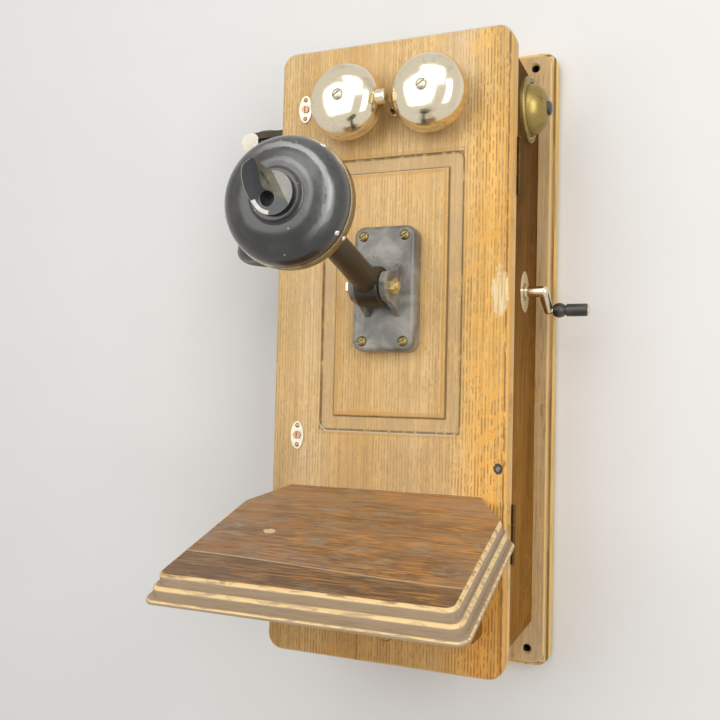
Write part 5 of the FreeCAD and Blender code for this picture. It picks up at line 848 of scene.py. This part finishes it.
def sweep():
    """The wall and floor as one bent sheet."""
    profile = [(STAGE_WALL_Y, STAGE_WALL_TOP), (STAGE_WALL_Y, STAGE_FLOOR_Z + STAGE_BEND)]
    for i in range(1, STAGE_BEND_STEPS + 1):
        turn = math.pi / 2 * i / STAGE_BEND_STEPS
        back = STAGE_WALL_Y - STAGE_BEND + STAGE_BEND * math.cos(turn)
        profile.append((back, STAGE_FLOOR_Z + STAGE_BEND - STAGE_BEND * math.sin(turn)))
    profile.append((STAGE_FLOOR_FRONT, STAGE_FLOOR_Z))
    mesh = bpy.data.meshes.new("sweep")
    points, faces = [], []
    for y, z in profile:
        points += [(-STAGE_HALF_WIDTH, y, z), (STAGE_HALF_WIDTH, y, z)]
    for i in range(len(profile) - 1):
        faces.append((2 * i, 2 * i + 2, 2 * i + 3, 2 * i + 1))
    mesh.from_pydata(points, [], faces)
    for polygon in mesh.polygons:
        polygon.use_smooth = True
    mesh.materials.append(pale_paper())
    backdrop = bpy.data.objects.new("sweep", mesh)
    bpy.context.scene.collection.objects.link(backdrop)


def soft_light(name, place, target, wide, high, power):
    """A rectangular area lamp that faces a target."""
    data = bpy.data.lights.new(name, "AREA")
    data.shape = "RECTANGLE"
    data.size = wide
    data.size_y = high
    data.energy = power
    lamp = bpy.data.objects.new(name, data)
    lamp.location = place
    lamp.rotation_euler = (Vector(target) - Vector(place)).to_track_quat("-Z", "Y").to_euler()
    bpy.context.scene.collection.objects.link(lamp)


def pale_world():
    """Even light all round, which the camera and shiny surfaces see as a pale background."""
    world = bpy.data.worlds.new("world")
    bpy.context.scene.world = world
    world.use_nodes = True
    tree = world.node_tree
    light = tree.nodes["Background"]
    light.inputs["Color"].default_value = (0.95, 0.95, 0.95, 1)
    light.inputs["Strength"].default_value = WORLD_LIGHT
    seen = tree.nodes.new("ShaderNodeBackground")
    seen.inputs["Color"].default_value = (*PALE, 1)
    seen.inputs["Strength"].default_value = 1.0
    rays = tree.nodes.new("ShaderNodeLightPath")
    either = rays.outputs["Is Camera Ray"]
    for kind in ("Is Glossy Ray", "Is Transmission Ray"):
        most = tree.nodes.new("ShaderNodeMath")
        most.operation = "MAXIMUM"
        tree.links.new(either, most.inputs[0])
        tree.links.new(rays.outputs[kind], most.inputs[1])
        either = most.outputs["Value"]
    choice = tree.nodes.new("ShaderNodeMixShader")
    tree.links.new(either, choice.inputs[0])
    tree.links.new(light.outputs["Background"], choice.inputs[1])
    tree.links.new(seen.outputs["Background"], choice.inputs[2])
    tree.links.new(choice.outputs["Shader"], tree.nodes["World Output"].inputs["Surface"])


sweep()
pale_world()
soft_light("key", (-0.6, -1.75, 0.4), (0, -0.1, 0), 1.4, 1.2, 10.5)
soft_light("fill", (1.1, -1.3, 0.2), (0, -0.1, 0), 0.7, 1.4, 11.5)
soft_light("top", (0.1, -1.45, 1.05), (0, -0.2, -0.1), 1.1, 0.9, 6)

# Camera, solved from the photograph's straight edges
camera_data = bpy.data.cameras.new("camera")
camera_data.sensor_width = 36.0
camera_data.lens = 42.5
camera_data.clip_start = 0.02
camera = bpy.data.objects.new("camera", camera_data)
right = Vector((0.92373, 0.38234, 0.02343))
down = Vector((0.00604, 0.04661, -0.9989))
ahead = Vector((-0.38301, 0.92285, 0.04074))
turned = Matrix((right, -down, -ahead)).transposed().to_4x4()
camera.matrix_world = Matrix.Translation((0.2530, -0.7941, -0.0404)) @ turned
bpy.context.scene.collection.objects.link(camera)
bpy.context.scene.camera = camera
bpy.context.scene.view_settings.view_transform = "Standard"
